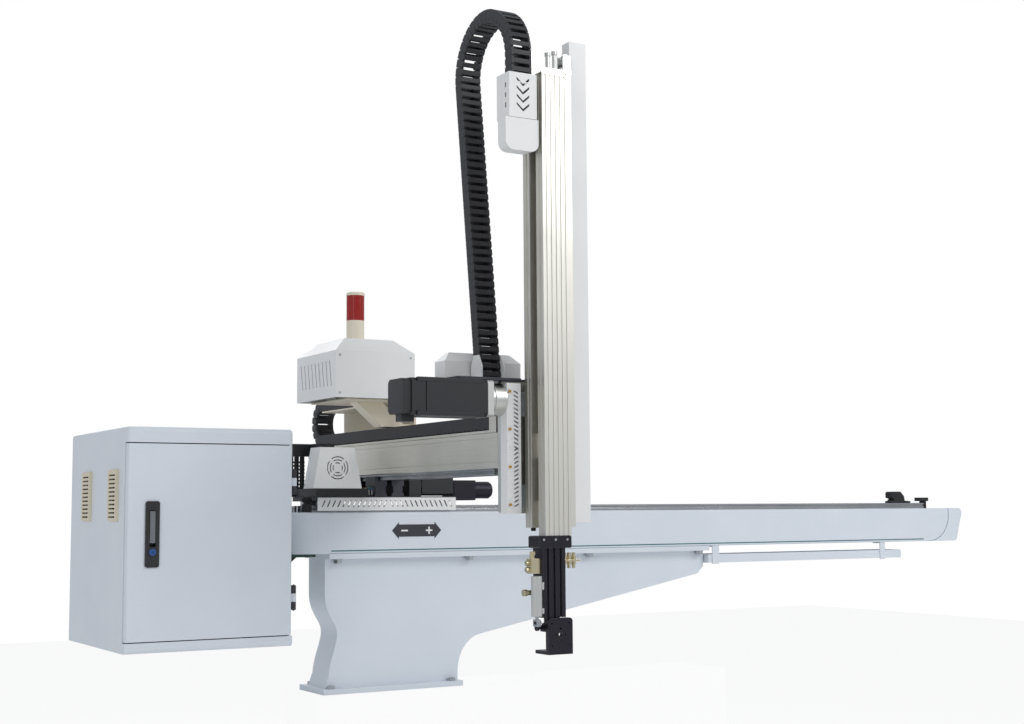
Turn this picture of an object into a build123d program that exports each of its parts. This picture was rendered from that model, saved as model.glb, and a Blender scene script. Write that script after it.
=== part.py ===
"""Injection moulding take-out robot: pedestal, traverse beam, crosswise beam and telescopic arm.

Millimetres. X runs along the traverse beam, Y away from the operator's side, Z up.
The origin is the middle of the underside of the foot plate.
"""
import math
import os

from build123d import *

os.makedirs("parts", exist_ok=True)

# Clearances
slide_gap = 0.3
pin_gap = 0.05
sheet = 2.0

# Pedestal
foot_length = 415.0
foot_depth = 166.0
foot_thickness = 14.0
web_depth = 110.0
web_wall = 8.0
web_left = 194.0
web_right = 205.0
web_neck_drop = 106.0
web_foot_height = 48.0
web_heel_height = 30.0
web_tip_height = 48.0
pedestal_height = 368.0
flange_thickness = 14.0
flange_right = 1065.0
tray_length = 802.0
stud_pitch_x = 360.0
stud_pitch_y = 136.0
stud_radius = 6.0
stud_length = 30.0
stud_head_radius = 10.0
stud_head_height = 8.0

# Traverse beam
beam_height = 110.0
beam_depth = 170.0
beam_wall = 8.0
beam_left = -193.0
beam_right = 2084.0
cap_left_length = 113.0
cap_corner_radius = 80.0
cap_right_end = 2148.0
cap_right_tilt = 24.0
cap_rim_radius = 16.0
seam_gap = 1.0
flange_bolt_pitch = 400.0
flange_bolt_first = -162.6
flange_bolt_count = 4
flange_bolt_rows = 137.0
flange_bolt_flats = 20.0
flange_bolt_head = 9.0

# Rails, rack and rail blocks of the traverse axis
rail_width = 20.0
rail_height = 18.0
rail_offset = 58.0
rail_left = -240.0
rail_right = 1990.0
rail_block_length = 60.0
rail_block_width = 44.0
rail_block_top = 30.0
traverse_stroke = 1500.0
junction_box_length = 76.0
junction_plug_length = 60.0
stop_clearance = 14.0
rack_module = 2.0
rack_tip_y = 20.0
rack_width = 14.0
rack_height = 18.0
pinion_teeth = 24
tooth_backlash = 0.35
pinion_x = -180.0

# Traverse carriage
carriage_left = -228.0
carriage_right = 186.0
carriage_front = -82.0
carriage_back = 95.0
carriage_thickness = 12.0
skirt_height = 35.0
motor_mount_height = 21.0

# Fan cover
fan_cover_height = 109.0
fan_cover_bottom = 140.0
fan_cover_top = 100.0
fan_cover_depth = 66.0
fan_x = -178.0
fan_radius = 34.0

# Crosswise beam
cross_left = -57.0
cross_width = 80.0
cross_stand = 58.0
cross_height = 84.0
cross_front = -745.0
cross_rear = 370.0
cross_stroke = 350.0
cross_wall = 6.0
cross_rail_width = 15.0
cross_rail_height = 15.0
cross_block_height = 24.0
cross_block_length = 60.0
tray_floor = 6.0
tray_lip = 12.0

# Cable chains
chain_width = 54.0
chain_height = 32.0
cross_chain_radius = 51.0
cross_chain_bend_y = 298.0
vertical_chain_radius = 123.5
vertical_chain_lean = 7.2

# Valve box
valve_left = -240.0
valve_width = 228.0
valve_front = -225.0
valve_depth = 260.0
valve_below_chain = 14.0
valve_height = 122.0
roof_height = 38.0
roof_inset = 44.0
side_plate_arm = 71.0
lamp_radius = 25.0
lamp_base_height = 58.0
lamp_lens_height = 68.0
lamp_cap_height = 9.0

# Arm head on the front of the crosswise beam
arm_plate_left = -56.0
arm_plate_right = 130.0
arm_plate_below_beam = 106.0
arm_plate_above_beam = 118.0
arm_plate_thickness = 15.0
arm_motor_size = 85.0
arm_motor_drop = 44.0
arm_motor_left = -328.0
arm_motor_right = -112.0
reducer_flange = 16.0
top_plate_thickness = 6.0
top_plate_left = -185.0
rear_cover_depth = 54.0
top_plate_clearance = 10.0

# Vertical stages
stage1_left = -5.0
stage1_width = 120.0
stage1_front = -812.0
stage1_depth = 28.0
stage1_below_plate = 33.0
stage1_length = 1086.0
stage_rail_width = 15.0
stage_rail_height = 13.0
stage_block_height = 24.0
stage2_left = 4.0
stage2_width = 70.0
stage2_front = -858.0
stage2_depth = 30.0
stage2_below_stage1 = 18.0
stage2_length = 1085.0
stage2_rail_height = 8.0
stage2_rail_width = 24.0
cover_gap = 3.0
cover_width = 47.0
cover_above_end = 11.0
cover_rise = 85.0
chain_box_width = 75.0
chain_box_height = 107.0
chain_box_drop = 28.0
chain_box_lower = 78.0
chain_centre_rise = 19.0
chain_plug_depth = 19.5

# Wrist
column_width = 60.0
column_depth = 44.0
column_length = 157.0
clamp_height = 28.0
pivot_depth = 18.0
pivot_drop = 22.0
pivot_radius = 5.0
plate_thickness = 12.0
plate_rise = 21.0
plate_height = 82.0
plate_stand = 8.0
plate_leg = 58.0
plate_leg_thickness = 8.0
plate_width = 65.0
plate_hole_radius = 2.75
plate_outer_pitch_x = 46.0
plate_outer_pitch_z = 50.0
plate_inner_pcd = 26.0
plate_bore_radius = 5.0
crank_radius = 16.0
rod_radius = 4.0
cylinder_radius = 13.0
cylinder_length = 90.0

# Cabinet
cabinet_gap = 73.8
cabinet_width = 417.0
cabinet_front = -286.0
cabinet_depth = 505.0
cabinet_drop = 217.0
cabinet_height = 533.0
cabinet_wall = 3.0
door_thickness = 20.0
door_strip_bottom = 25.0
door_strip_top = 38.0
door_gap = 2.5

# Air inlet of the lock-out valve
inlet_radius = 4.4

# Values that follow from the driving dimensions
beam_bottom = pedestal_height
beam_top = beam_bottom + beam_height
beam_front = -beam_depth / 2
carriage_bottom = beam_top + rail_block_top
carriage_top = carriage_bottom + carriage_thickness
cross_bottom = carriage_top + cross_stand
cross_right = cross_left + cross_width
cross_top = cross_bottom + cross_height
chain_x = cross_left + chain_width / 2
cross_chain_low = cross_top + tray_floor + 2.0 + chain_height / 2
cross_chain_high = cross_chain_low + 2 * cross_chain_radius
valve_bottom = cross_chain_high - valve_below_chain
arm_plate_front = cross_front - arm_plate_thickness
arm_plate_bottom = cross_bottom - arm_plate_below_beam
arm_plate_top = cross_top + arm_plate_above_beam
arm_motor_y = (cross_front + arm_plate_front) / 2 - 5.0
arm_motor_z = arm_plate_top - arm_motor_drop
top_plate_rear = valve_front - cross_stroke - top_plate_clearance
stage1_right = stage1_left + stage1_width
stage1_back = stage1_front + stage1_depth
stage1_bottom = arm_plate_bottom - stage1_below_plate
stage1_top = stage1_bottom + stage1_length
stage2_back = stage2_front + stage2_depth
stage2_bottom = stage1_bottom - stage2_below_stage1
stage2_top = stage2_bottom + stage2_length
cover_left = stage1_right + cover_gap
cover_bottom = stage1_bottom + cover_above_end
cover_top = stage1_top + cover_rise
chain_box_top = stage1_top - chain_box_drop
column_left = stage2_left - 8.0
clamp_bottom = stage2_bottom - clamp_height
column_bottom = clamp_bottom - column_length
pivot_y = stage2_front + pivot_depth
pivot_z = column_bottom - pivot_drop
plate_top = pivot_z + plate_rise
plate_bottom = plate_top - plate_height
cabinet_right = beam_left - cap_left_length - cabinet_gap
cabinet_left = cabinet_right - cabinet_width
cabinet_bottom = beam_bottom - cabinet_drop
cabinet_top = cabinet_bottom + cabinet_height


def block(x0, x1, y0, y1, z0, z1):
    """A box between two corners."""
    return Pos((x0 + x1) / 2, (y0 + y1) / 2, (z0 + z1) / 2) * Box(x1 - x0, y1 - y0, z1 - z0)


def rod_x(x0, x1, y, z, radius):
    """A round bar along X."""
    return Pos((x0 + x1) / 2, y, z) * Rot(0, 90, 0) * Cylinder(radius, x1 - x0)


def rod_y(x, y0, y1, z, radius):
    """A round bar along Y."""
    return Pos(x, (y0 + y1) / 2, z) * Rot(90, 0, 0) * Cylinder(radius, y1 - y0)


def rod_z(x, y, z0, z1, radius):
    """A round bar along Z."""
    return Pos(x, y, (z0 + z1) / 2) * Cylinder(radius, z1 - z0)


def plate_xz(points, y0, y1):
    """A flat outline in X and Z carried along Y."""
    face = make_face(Polyline(*[(x, y0, z) for x, z in points], close=True))
    return extrude(face, amount=y1 - y0, dir=(0, 1, 0))


def plate_yz(points, x0, x1):
    """A flat outline in Y and Z carried along X."""
    face = make_face(Polyline(*[(x0, y, z) for y, z in points], close=True))
    return extrude(face, amount=x1 - x0, dir=(1, 0, 0))


def hex_head(x, y, z0, z1, flats):
    """A hexagonal bolt head."""
    return Pos(x, y, z0) * extrude(RegularPolygon(flats / math.sqrt(3), 6), amount=z1 - z0)


def save(name, shape):
    """Writes one node's STEP file; a list becomes a group of separate solids."""
    if isinstance(shape, (list, tuple)):
        shape = Compound(children=list(shape))
    shape.label = name
    export_step(shape, f"parts/{name}.step")


def hip_box(x0, x1, y0, y1, z0, z1, z2, inset):
    """An upright box whose roof slopes in from all four sides to a smaller flat top."""
    body = block(x0, x1, y0, y1, z0, z1)
    low = Pos((x0 + x1) / 2, (y0 + y1) / 2, z1) * Rectangle(x1 - x0, y1 - y0)
    high = Pos((x0 + x1) / 2, (y0 + y1) / 2, z2) * Rectangle(x1 - x0 - 2 * inset, y1 - y0 - 2 * inset)
    return body + loft([low.face(), high.face()])


def web_outline(shrink=0.0):
    """The pedestal web seen from the front, drawn smaller by a wall for its hollow."""
    left_x = -web_left + shrink
    right_x = web_right - shrink
    low = foot_thickness + shrink
    high = pedestal_height - flange_thickness - shrink
    waist = pedestal_height * 0.448
    crook = pedestal_height * 0.37
    neck = pedestal_height - web_neck_drop
    tip = flange_right - 3 - shrink
    tip_low = high + shrink - web_tip_height
    left = Spline(
        (left_x, 0, neck), (left_x + 35, 0, waist), (left_x + 12, 0, web_foot_height),
        tangents=((0, 0, -1), (-0.1, 0, -1)),
    )
    right = Spline(
        (right_x, 0, web_heel_height), (right_x + 32 + shrink * 0.2, 0, crook - 20 + shrink * 0.6),
        (web_right + 70, 0, crook + shrink),
        tangents=((0, 0, 1), (1, 0, 0.193)),
    )
    return make_face(
        Polyline((left_x, 0, high), (left_x, 0, neck))
        + left
        + Polyline((left_x + 12, 0, web_foot_height), (left_x, 0, low), (right_x, 0, low),
                   (right_x, 0, web_heel_height))
        + right
        + Polyline((web_right + 70, 0, crook + shrink), (tip - 22, 0, tip_low - 22 + shrink),
                   (tip, 0, tip_low), (tip, 0, high), (left_x, 0, high))
    )


def pedestal():
    """The welded stand: foot plate, hollow web with an arm to the right, and top flange."""
    half = web_depth / 2
    outer = Pos(0, -half, 0) * extrude(web_outline(), amount=web_depth, dir=(0, 1, 0))
    inner = extrude(web_outline(web_wall), amount=web_depth - 2 * web_wall, dir=(0, 1, 0))
    web = outer - Pos(0, -half + web_wall, 0) * inner
    foot = block(-foot_length / 2, foot_length / 2, -foot_depth / 2, foot_depth / 2, 0, foot_thickness)
    flange = block(
        beam_left - 1, flange_right, beam_front, -beam_front,
        pedestal_height - flange_thickness, pedestal_height,
    )
    for x, y in stud_places():
        foot -= rod_z(x, y, 0, foot_thickness, stud_radius + 0.3)
    for x, y in flange_bolt_places():
        flange -= rod_z(x, y, pedestal_height - flange_thickness, pedestal_height, 6.3)
    return web + foot + flange


def stud_places():
    """The four foot studs, in X and Y."""
    return [(sx * stud_pitch_x / 2, sy * stud_pitch_y / 2) for sx in (-1, 1) for sy in (-1, 1)]


def flange_bolt_places():
    """The bolts that hold the beam on the flange, in X and Y."""
    rows = (-flange_bolt_rows / 2, flange_bolt_rows / 2)
    return [
        (flange_bolt_first + flange_bolt_pitch * i, y)
        for i in range(flange_bolt_count)
        for y in rows
        if flange_bolt_first + flange_bolt_pitch * i < flange_right - 15
    ]


def base_fasteners():
    """Foot studs with their heads, and the hexagon bolts under the flange."""
    pieces = []
    for x, y in stud_places():
        head = rod_z(x, y, foot_thickness, foot_thickness + stud_head_height, stud_head_radius)
        socket = Pos(x, y, foot_thickness + 3) * extrude(RegularPolygon(5, 6), amount=stud_head_height)
        shank = rod_z(x, y, 0, foot_thickness, stud_radius + 0.2)
        pieces.append(head + shank + rod_z(x, y, -stud_length, 0, stud_radius) - socket)
    under = pedestal_height - flange_thickness
    for x, y in flange_bolt_places():
        washer = rod_z(x, y, under - 2.5, under, flange_bolt_flats * 0.62)
        head = hex_head(x, y, under - 2.5 - flange_bolt_head, under - 2.5, flange_bolt_flats)
        pieces.append(washer + head + rod_z(x, y, under, pedestal_height, 6))
    return pieces


def seam_points(shift=0.0):
    """The bowed seam between the beam and its right end cap, from the top edge down."""
    return [
        (beam_right + shift, beam_top),
        (beam_right - 14 + shift, beam_bottom + beam_height * 0.35),
        (beam_right - 89 + shift, beam_bottom),
    ]


def seam_face(x_far, shift):
    """A face in X and Z on one side of the seam."""
    top, mid, low = seam_points(shift)
    arc = ThreePointArc((top[0], 0, top[1]), (mid[0], 0, mid[1]), (low[0], 0, low[1]))
    rest = Polyline((low[0], 0, low[1]), (x_far, 0, low[1]), (x_far, 0, top[1]), (top[0], 0, top[1]))
    return make_face(arc + rest)


def beam_extrusion():
    """The hollow painted traverse beam with a stiffening rib inside and rounded edges."""
    half = beam_depth / 2
    solid = Pos(0, -half, 0) * extrude(seam_face(beam_left, 0), amount=beam_depth, dir=(0, 1, 0))
    edges = solid.edges().filter_by(Axis.X)
    solid = fillet(edges, 5)
    length = beam_right - 110 - beam_left
    for side in (-1, 1):
        y0, y1 = sorted((side * 5, side * (half - beam_wall)))
        hollow = block(
            beam_left, beam_left + length, y0, y1, beam_bottom + beam_wall, beam_top - beam_wall
        )
        solid -= hollow
    return solid


def beam_end_caps():
    """The rounded cap at the left end and the bowed cap at the right end."""
    half = beam_depth / 2
    left_end = beam_left - cap_left_length
    left = block(left_end, beam_left, -half, half, beam_bottom, beam_top)
    corners = [e for e in left.edges().filter_by(Axis.Z) if e.center().X < left_end + 1]
    left = fillet(corners, cap_corner_radius)
    rims = [e for e in left.edges() if e.center().Z > beam_top - 0.1 and e.center().X < beam_left - 1]
    left = fillet(rims, 4)
    left -= block(left_end + 40, beam_left, -half + 12, half - 12, beam_bottom + 10, beam_top - 10)
    top, mid, low = seam_points(seam_gap)
    x, r = cap_right_end, cap_rim_radius
    tilt = cap_right_tilt
    face = make_face(
        ThreePointArc((top[0], 0, top[1]), (mid[0], 0, mid[1]), (low[0], 0, low[1]))
        + Line((low[0], 0, low[1]), (x - tilt - r, 0, low[1]))
        + ThreePointArc(
            (x - tilt - r, 0, low[1]), (x - tilt - r * 0.25, 0, low[1] + r * 0.3), (x - tilt, 0, low[1] + r)
        )
        + Line((x - tilt, 0, low[1] + r), (x, 0, beam_top - r))
        + ThreePointArc(
            (x, 0, beam_top - r), (x - r * 0.3, 0, beam_top - r * 0.3), (x - r, 0, beam_top)
        )
        + Line((x - r, 0, beam_top), (top[0], 0, top[1]))
    )
    right = Pos(0, -half, 0) * extrude(face, amount=beam_depth, dir=(0, 1, 0))
    return [left, right]


def rail_bar(width, height):
    """A linear rail's section in Y and Z, foot at zero, with a groove in each flank."""
    half = width / 2
    return [
        (-half, 0), (half, 0), (half, height * 0.35), (half - 2, height * 0.48),
        (half - 2, height * 0.6), (half, height * 0.72), (half, height), (-half, height),
        (-half, height * 0.72), (-half + 2, height * 0.6), (-half + 2, height * 0.48),
        (-half, height * 0.35),
    ]


def traverse_rails():
    """Two linear rails on top of the beam."""
    return [
        plate_yz([(y0 + y, beam_top + z) for y, z in rail_bar(rail_width, rail_height)],
                 rail_left, rail_right)
        for y0 in (-rail_offset, rail_offset)
    ]


def rack():
    """The straight-toothed rack between the rails, teeth towards the operator."""
    pitch = math.pi * rack_module
    slope = math.tan(math.radians(20))
    half_tip = pitch / 4 - rack_module * slope - tooth_backlash / 2
    half_root = half_tip + 2.25 * rack_module * slope
    tip = rack_tip_y
    root = tip + 2.25 * rack_module
    first = math.ceil((rail_left - pinion_x) / pitch) + 1
    last = math.floor((rail_right - pinion_x) / pitch) - 1
    points = [(rail_left, root)]
    for i in range(first, last):
        x = pinion_x + i * pitch
        points += [(x - half_root, root), (x - half_tip, tip), (x + half_tip, tip), (x + half_root, root)]
    points += [(rail_right, root), (rail_right, tip + rack_width), (rail_left, tip + rack_width)]
    face = make_face(Polyline(*[(x, y, beam_top) for x, y in points], close=True))
    return extrude(face, amount=rack_height, dir=(0, 0, 1))


def pinion_axis_y():
    """The pinion's axis lies one pitch radius in front of the rack's pitch line."""
    return rack_tip_y + rack_module - rack_module * pinion_teeth / 2


def pinion():
    """The spur pinion on the traverse motor's shaft, with involute flanks."""
    pitch_r = rack_module * pinion_teeth / 2
    base_r = pitch_r * math.cos(math.radians(20))
    root_r = pitch_r - 1.25 * rack_module
    tip_r = pitch_r + rack_module - 0.15
    half_angle = math.pi / (2 * pinion_teeth) - tooth_backlash / (2 * pitch_r)
    pitch_roll = math.tan(math.radians(20)) - math.radians(20)
    flank = []
    for i in range(6):
        r = max(base_r, root_r) + (tip_r - max(base_r, root_r)) * i / 5
        roll = math.acos(min(1.0, base_r / r))
        flank.append((r, half_angle + pitch_roll - (math.tan(roll) - roll)))
    points = []
    for k in range(pinion_teeth):
        # a gap, not a tooth, faces the rack's tooth at rest
        centre = math.pi / 2 + (k + 0.5) * 2 * math.pi / pinion_teeth
        side = [(root_r, flank[0][1])] + flank
        points += [(r * math.cos(centre - a), r * math.sin(centre - a)) for r, a in side]
        points += [(r * math.cos(centre + a), r * math.sin(centre + a)) for r, a in reversed(side)]
    gear = extrude(make_face(Polyline(*[(x, y, 0) for x, y in points], close=True)), amount=14)
    z0 = beam_top + 2
    shaft = rod_z(0, 0, 0, carriage_top - z0 + 16, 8)
    return Pos(pinion_x, pinion_axis_y(), z0) * (gear + shaft)


def rail_end_stops():
    """Buffers on the beam: one at the home end, two at the far end."""
    stops = []
    z = beam_top
    home = rail_left - 1
    stops.append(
        block(home - 14, home, -rail_offset - 18, -rail_offset + 18, z, z + 22)
        + rod_x(home - 20, home + 6, -rail_offset, z + rail_height + 14, 5)
        + block(home - 14, home, -rail_offset - 8, -rail_offset + 8, z + 20, z + 40)
    )
    far = carriage_right + junction_box_length + junction_plug_length + traverse_stroke + stop_clearance
    rail_top = z + rail_height
    side = [
        (far, rail_top), (far + 88, rail_top), (far + 88, rail_top + 6), (far + 62, rail_top + 8),
        (far + 60, rail_top + 22), (far + 44, rail_top + 38), (far + 8, rail_top + 38),
        (far + 2, rail_top + 34), (far + 2, rail_top + 18), (far + 16, rail_top + 14),
        (far + 10, rail_top + 8), (far, rail_top + 6),
    ]
    stops.append(plate_xz(side, -rail_offset - 14, -rail_offset + 14))
    end = rail_right + 0.5
    stops.append(
        block(end, end + 8, -rail_offset - 12, -rail_offset + 12, z, z + 30)
        + block(end - 22, end + 18, -rail_offset - 12, -rail_offset + 12, z + 24, z + 36)
    )
    return stops


def under_tray():
    """The pressed cable tray below the right half of the beam, on two hangers."""
    left = flange_right + 1
    right = left + tray_length
    top = beam_bottom - 26
    wide = 92.0
    y0 = beam_front + 8
    tray = block(left, right, y0, y0 + wide, top - 26, top)
    tray -= block(left + sheet, right - sheet, y0 + sheet, y0 + wide - sheet, top - 26 + sheet, top)
    for x0, x1 in ((left + 14, left + 40), (right - 95, right - 73)):
        hanger = block(x0, x1, y0 - 3, y0, top - 30, beam_bottom)
        foot = block(x0, x1, y0 - 3, y0 + 30, beam_bottom - 4, beam_bottom)
        tray += hanger + foot
    return tray


def rail_block(length, width, height, bar, skin):
    """A ball-bearing rail block lying along X over a rail section at the origin."""
    body = plate_yz([(-width / 2, skin), (width / 2, skin), (width / 2, height), (-width / 2, height)],
                    -length / 2, length / 2)
    body = chamfer(body.edges().filter_by(Axis.X), 1.2)
    half = bar[0] / 2 + slide_gap
    return body - block(-length / 2, length / 2, -half, half, 0, bar[1] + slide_gap)


def traverse_slider_blocks():
    """Four blocks that carry the carriage on the traverse rails."""
    one = rail_block(
        rail_block_length, rail_block_width, rail_block_top, (rail_width, rail_height), 5
    )
    xs = (carriage_left + 48, carriage_right - 48)
    return [Pos(x, y, beam_top) * one for x in xs for y in (-rail_offset, rail_offset)]


def carriage_plate():
    """The machined plate that everything on the traverse axis stands on."""
    plate = block(
        carriage_left, carriage_right, carriage_front, carriage_back, carriage_bottom, carriage_top
    )
    plate = fillet(plate.edges().filter_by(Axis.Z), 4)
    return plate - rod_z(pinion_x, pinion_axis_y(), carriage_bottom, carriage_top, 14)


def front_skirt():
    """The white guard in front of the rail, with slanted slots that lean both ways."""
    left, right = carriage_left, carriage_right
    front = carriage_front - sheet
    top = carriage_top - 3
    skirt = block(left, right, front, carriage_front, top - skirt_height, top)
    pitch = 15.0
    count = 13
    middle = (left + right) / 2
    for side in (-1, 1):
        for i in range(count):
            x = middle + side * (14 + pitch * i)
            z0, z1 = top - skirt_height + 10, top - 8
            lean = -side * 8
            slot = [(x - 2, z0), (x + 2, z0), (x + 2 + lean, z1), (x - 2 + lean, z1)]
            skirt -= plate_xz(slot, front - 1, carriage_front + 1)
    return skirt


def fan_cover_frustum(shrink=0.0):
    """The tapered body of the fan cover, smaller by a wall for its hollow."""
    z0 = carriage_top + motor_mount_height
    z1 = z0 + fan_cover_height
    x = fan_x
    y_front = fan_cover_front()
    middle = y_front + fan_cover_depth / 2
    low = Pos(x, middle, z0) * Rectangle(fan_cover_bottom - 2 * shrink, fan_cover_depth - 2 * shrink)
    high = Pos(x, middle, z1 - shrink) * Rectangle(
        fan_cover_top - 2 * shrink, fan_cover_depth - 2 * shrink
    )
    return loft([low.face(), high.face()])


def fan_cover_front():
    """The fan cover's front face stands 18 mm in front of the carriage."""
    return carriage_front - 18


def fan_centre_z():
    """Height of the fan's axis."""
    return carriage_top + motor_mount_height + fan_cover_height * 0.5


def fan_cover():
    """The white fan housing: a tapered shell, open below and behind, with a four-part grille."""
    shell = fan_cover_frustum() - fan_cover_frustum(sheet)
    z0 = carriage_top + motor_mount_height
    y = fan_cover_front()
    zc = fan_centre_z()
    cut = None
    for r in (12.0, 20.0, 28.0):
        ring = rod_y(fan_x, y - 1, y + sheet + 1, zc, r + 2.5) - rod_y(fan_x, y - 1, y + sheet + 1, zc, r)
        cut = ring if cut is None else cut + ring
    spokes = Pos(fan_x, y + 1, zc) * Rot(0, 45, 0) * (Box(90, 8, 7) + Box(7, 8, 90))
    shell -= cut - spokes
    lugs = block(fan_x - 60, fan_x - 48, y + sheet, y + 12, z0, z0 + 10)
    lugs += block(fan_x + 48, fan_x + 60, y + sheet, y + 12, z0, z0 + 10)
    spider = rod_y(fan_x, y + 40, y + 46, zc, 10)
    spider += block(fan_x - 3, fan_x + 3, y + 40, y + 44, z0, zc)
    spider += block(fan_x - 9, fan_x + 9, y + 38, y + 46, z0, z0 + 5)
    pin = rod_y(fan_x, y + 24, y + 41, zc, 3)
    return [shell + lugs, spider + pin]


def fan_rotor():
    """The seven-bladed fan wheel behind the grille."""
    y = fan_cover_front() + 8
    zc = fan_centre_z()
    hub = rod_y(fan_x, y, y + 24, zc, 12)
    blades = 7
    for i in range(blades):
        blade = Pos(21, 0, 0) * Rot(35, 0, 0) * Box(24, 2, 18)
        hub += Pos(fan_x, y + 11, zc) * Rot(0, 360 / blades * i, 0) * blade
    return hub - rod_y(fan_x, y + 14, y + 25, zc, 3 + pin_gap)


def traverse_motor():
    """The black mounting block with the servo motor that stands on it behind the fan."""
    z0 = carriage_top
    z1 = z0 + motor_mount_height
    front = fan_cover_front()
    mount = block(fan_x - 62, fan_x + 88, front, 36, z0, z1)
    yc = pinion_axis_y()
    mount -= rod_z(pinion_x, yc, z0, z0 + 18, 8 + pin_gap)
    motor = block(pinion_x - 30, pinion_x + 30, yc - 28, yc + 30, z1, z1 + 92)
    motor = chamfer(motor.edges().filter_by(Axis.Z), 5)
    encoder = block(pinion_x - 24, pinion_x + 24, yc - 24, yc + 24, z1 + 92, z1 + 122)
    gland = block(pinion_x - 76, pinion_x + 24, yc + 24, yc + 36, z1 + 88, z1 + 122)
    return mount + motor + encoder + gland


def junction_box():
    """The cable junction box at the carriage's right end, with its round plug."""
    x0 = carriage_right
    z0 = carriage_bottom + 1
    x1 = x0 + junction_box_length
    x2 = x1 + junction_plug_length
    box = block(x0, x1, -62, 0, z0, z0 + 56)
    box = fillet(box.edges().filter_by(Axis.Z), 3)
    lid = block(x0 + 6, x1 - 6, -64, -62, z0 + 5, z0 + 51)
    plug = rod_x(x1, x2 - 6, -32, z0 + 29, 24) + rod_x(x2 - 6, x2, -32, z0 + 29, 20)
    return [box + lid, plug]


def cross_rail_places():
    """X of the two rails under the crosswise beam."""
    return (cross_left + 14.5, cross_right - 14.5)


def cross_bearing_blocks():
    """Four black risers, each ending in a block that wraps a rail of the crosswise beam."""
    pieces = []
    block_base = cross_bottom - cross_rail_height - 12
    block_top = block_base + cross_block_height - 1
    y_front = carriage_front + cross_block_length / 2 + 1
    for x in cross_rail_places():
        for y in (y_front, carriage_back - cross_block_length / 2 - 1):
            half = cross_block_length / 2
            body = block(x - 18, x + 18, y - half, y + half, carriage_top, block_top)
            slot = cross_rail_width / 2 + slide_gap
            body -= block(
                x - slot, x + slot, y - half, y + half,
                cross_bottom - cross_rail_height - slide_gap, block_top,
            )
            body -= block(x - 18, x - 14, y - half, y + half, carriage_top + 8, block_base - 3)
            body -= block(x + 14, x + 18, y - half, y + half, carriage_top + 8, block_base - 3)
            pieces.append(body)
    return pieces


def crosswise_motor():
    """The horizontal servo motor and gearbox beside the crosswise beam."""
    x0 = cross_right + 8
    y0 = carriage_front + 4
    z0 = carriage_top
    gearbox = block(x0 + 14, x0 + 50, y0, y0 + 64, z0, z0 + 64)
    motor = rod_x(x0 + 50, x0 + 54, y0 + 32, z0 + 32, 28)
    body = block(x0 + 54, x0 + 140, y0 + 2, y0 + 62, z0 + 2, z0 + 62)
    body = chamfer(body.edges().filter_by(Axis.X), 5)
    encoder = block(x0 + 140, x0 + 154, y0 + 8, y0 + 56, z0 + 8, z0 + 56)
    return gearbox + motor + body + encoder


def side_plate():
    """The upright plate that carries the valve box, with a shelf under the chain's upper run."""
    x0 = cross_right + 8
    x1 = x0 + 6
    top = valve_bottom - 3
    arm = top - side_plate_arm
    shelf_end = cross_chain_bend_y - 8
    outline = [
        (-8, carriage_top), (carriage_back, carriage_top), (carriage_back, arm - 40),
        (carriage_back + 55, arm), (shelf_end + 40, arm), (shelf_end + 40, top), (-135, top),
        (-135, arm), (-8, arm - 10),
    ]
    plate = plate_yz(outline, x0, x1)
    foot = block(x1, x1 + 24, -8, carriage_back, carriage_top, carriage_top + 8)
    shelf = block(cross_left, x0, 42, shelf_end, top - 4, top)
    return plate + foot + shelf


def valve_brace():
    """The top flange under the valve box and the slanted strap that props it from the side plate."""
    x0 = cross_right + 8
    top = valve_bottom
    under = top - 3
    flange = block(valve_left + 40, x0 + 6, -205, 30, under, top)
    low = cross_chain_low + chain_height / 2 + 4
    strap = [(-136, under), (-60, under), (2, low + 8), (x0, low + 8), (x0, low), (-62, low)]
    front = plate_xz(strap, -128, -125)
    ribs = plate_xz([(-136, under), (-132, under), (-58, low), (-62, low)], -125, -80)
    foot = block(-62, x0, -125, -80, low, low + 3)
    return flange + front + ribs + foot


def valve_box_cover():
    """The white box with a sloped roof, louvred on its left flank, open below."""
    x0, x1 = valve_left, valve_left + valve_width
    y0, y1 = valve_front, valve_front + valve_depth
    z1 = valve_bottom + valve_height
    outer = hip_box(x0, x1, y0, y1, valve_bottom, z1, z1 + roof_height, roof_inset)
    t = sheet
    inner = hip_box(x0 + t, x1 - t, y0 + t, y1 - t, valve_bottom - 1, z1, z1 + roof_height - t,
                    roof_inset)
    shell = outer - inner
    shell -= rod_z(*lamp_centre(), z1 + roof_height - 5, z1 + roof_height + 1, 9)
    slots = 9
    for side in (x0, x1 - t):
        for i in range(slots):
            y = y0 + 26 + 24 * i
            lean = 12
            slot = [(y, valve_bottom + 32), (y + 5, valve_bottom + 32),
                    (y + 5 + lean, valve_bottom + 98), (y + lean, valve_bottom + 98)]
            shell -= plate_yz(slot, side - 1, side + t + 1)
    shell -= block(cross_left - 1, x1 + 1, y1 - t - 1, y1 + 1, valve_bottom, valve_bottom + 40)
    return shell


def lamp_centre():
    """X and Y of the signal lamp, in the middle of the valve box."""
    return (valve_left + valve_width / 2, valve_front + valve_depth / 2)


def valve_manifold():
    """The solenoid valve bank inside the valve box."""
    x, y = lamp_centre()
    z = valve_bottom
    bank = block(x - 70, x + 70, y - 30, y + 30, z, z + 22)
    pieces = [bank]
    for i in range(6):
        x0 = x - 66 + 22.5 * i
        valve = block(x0, x0 + 19, y - 24, y + 24, z + 22, z + 62)
        coil = block(x0 + 3, x0 + 16, y + 24, y + 46, z + 26, z + 50)
        pieces.append(valve + coil)
    return pieces


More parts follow.
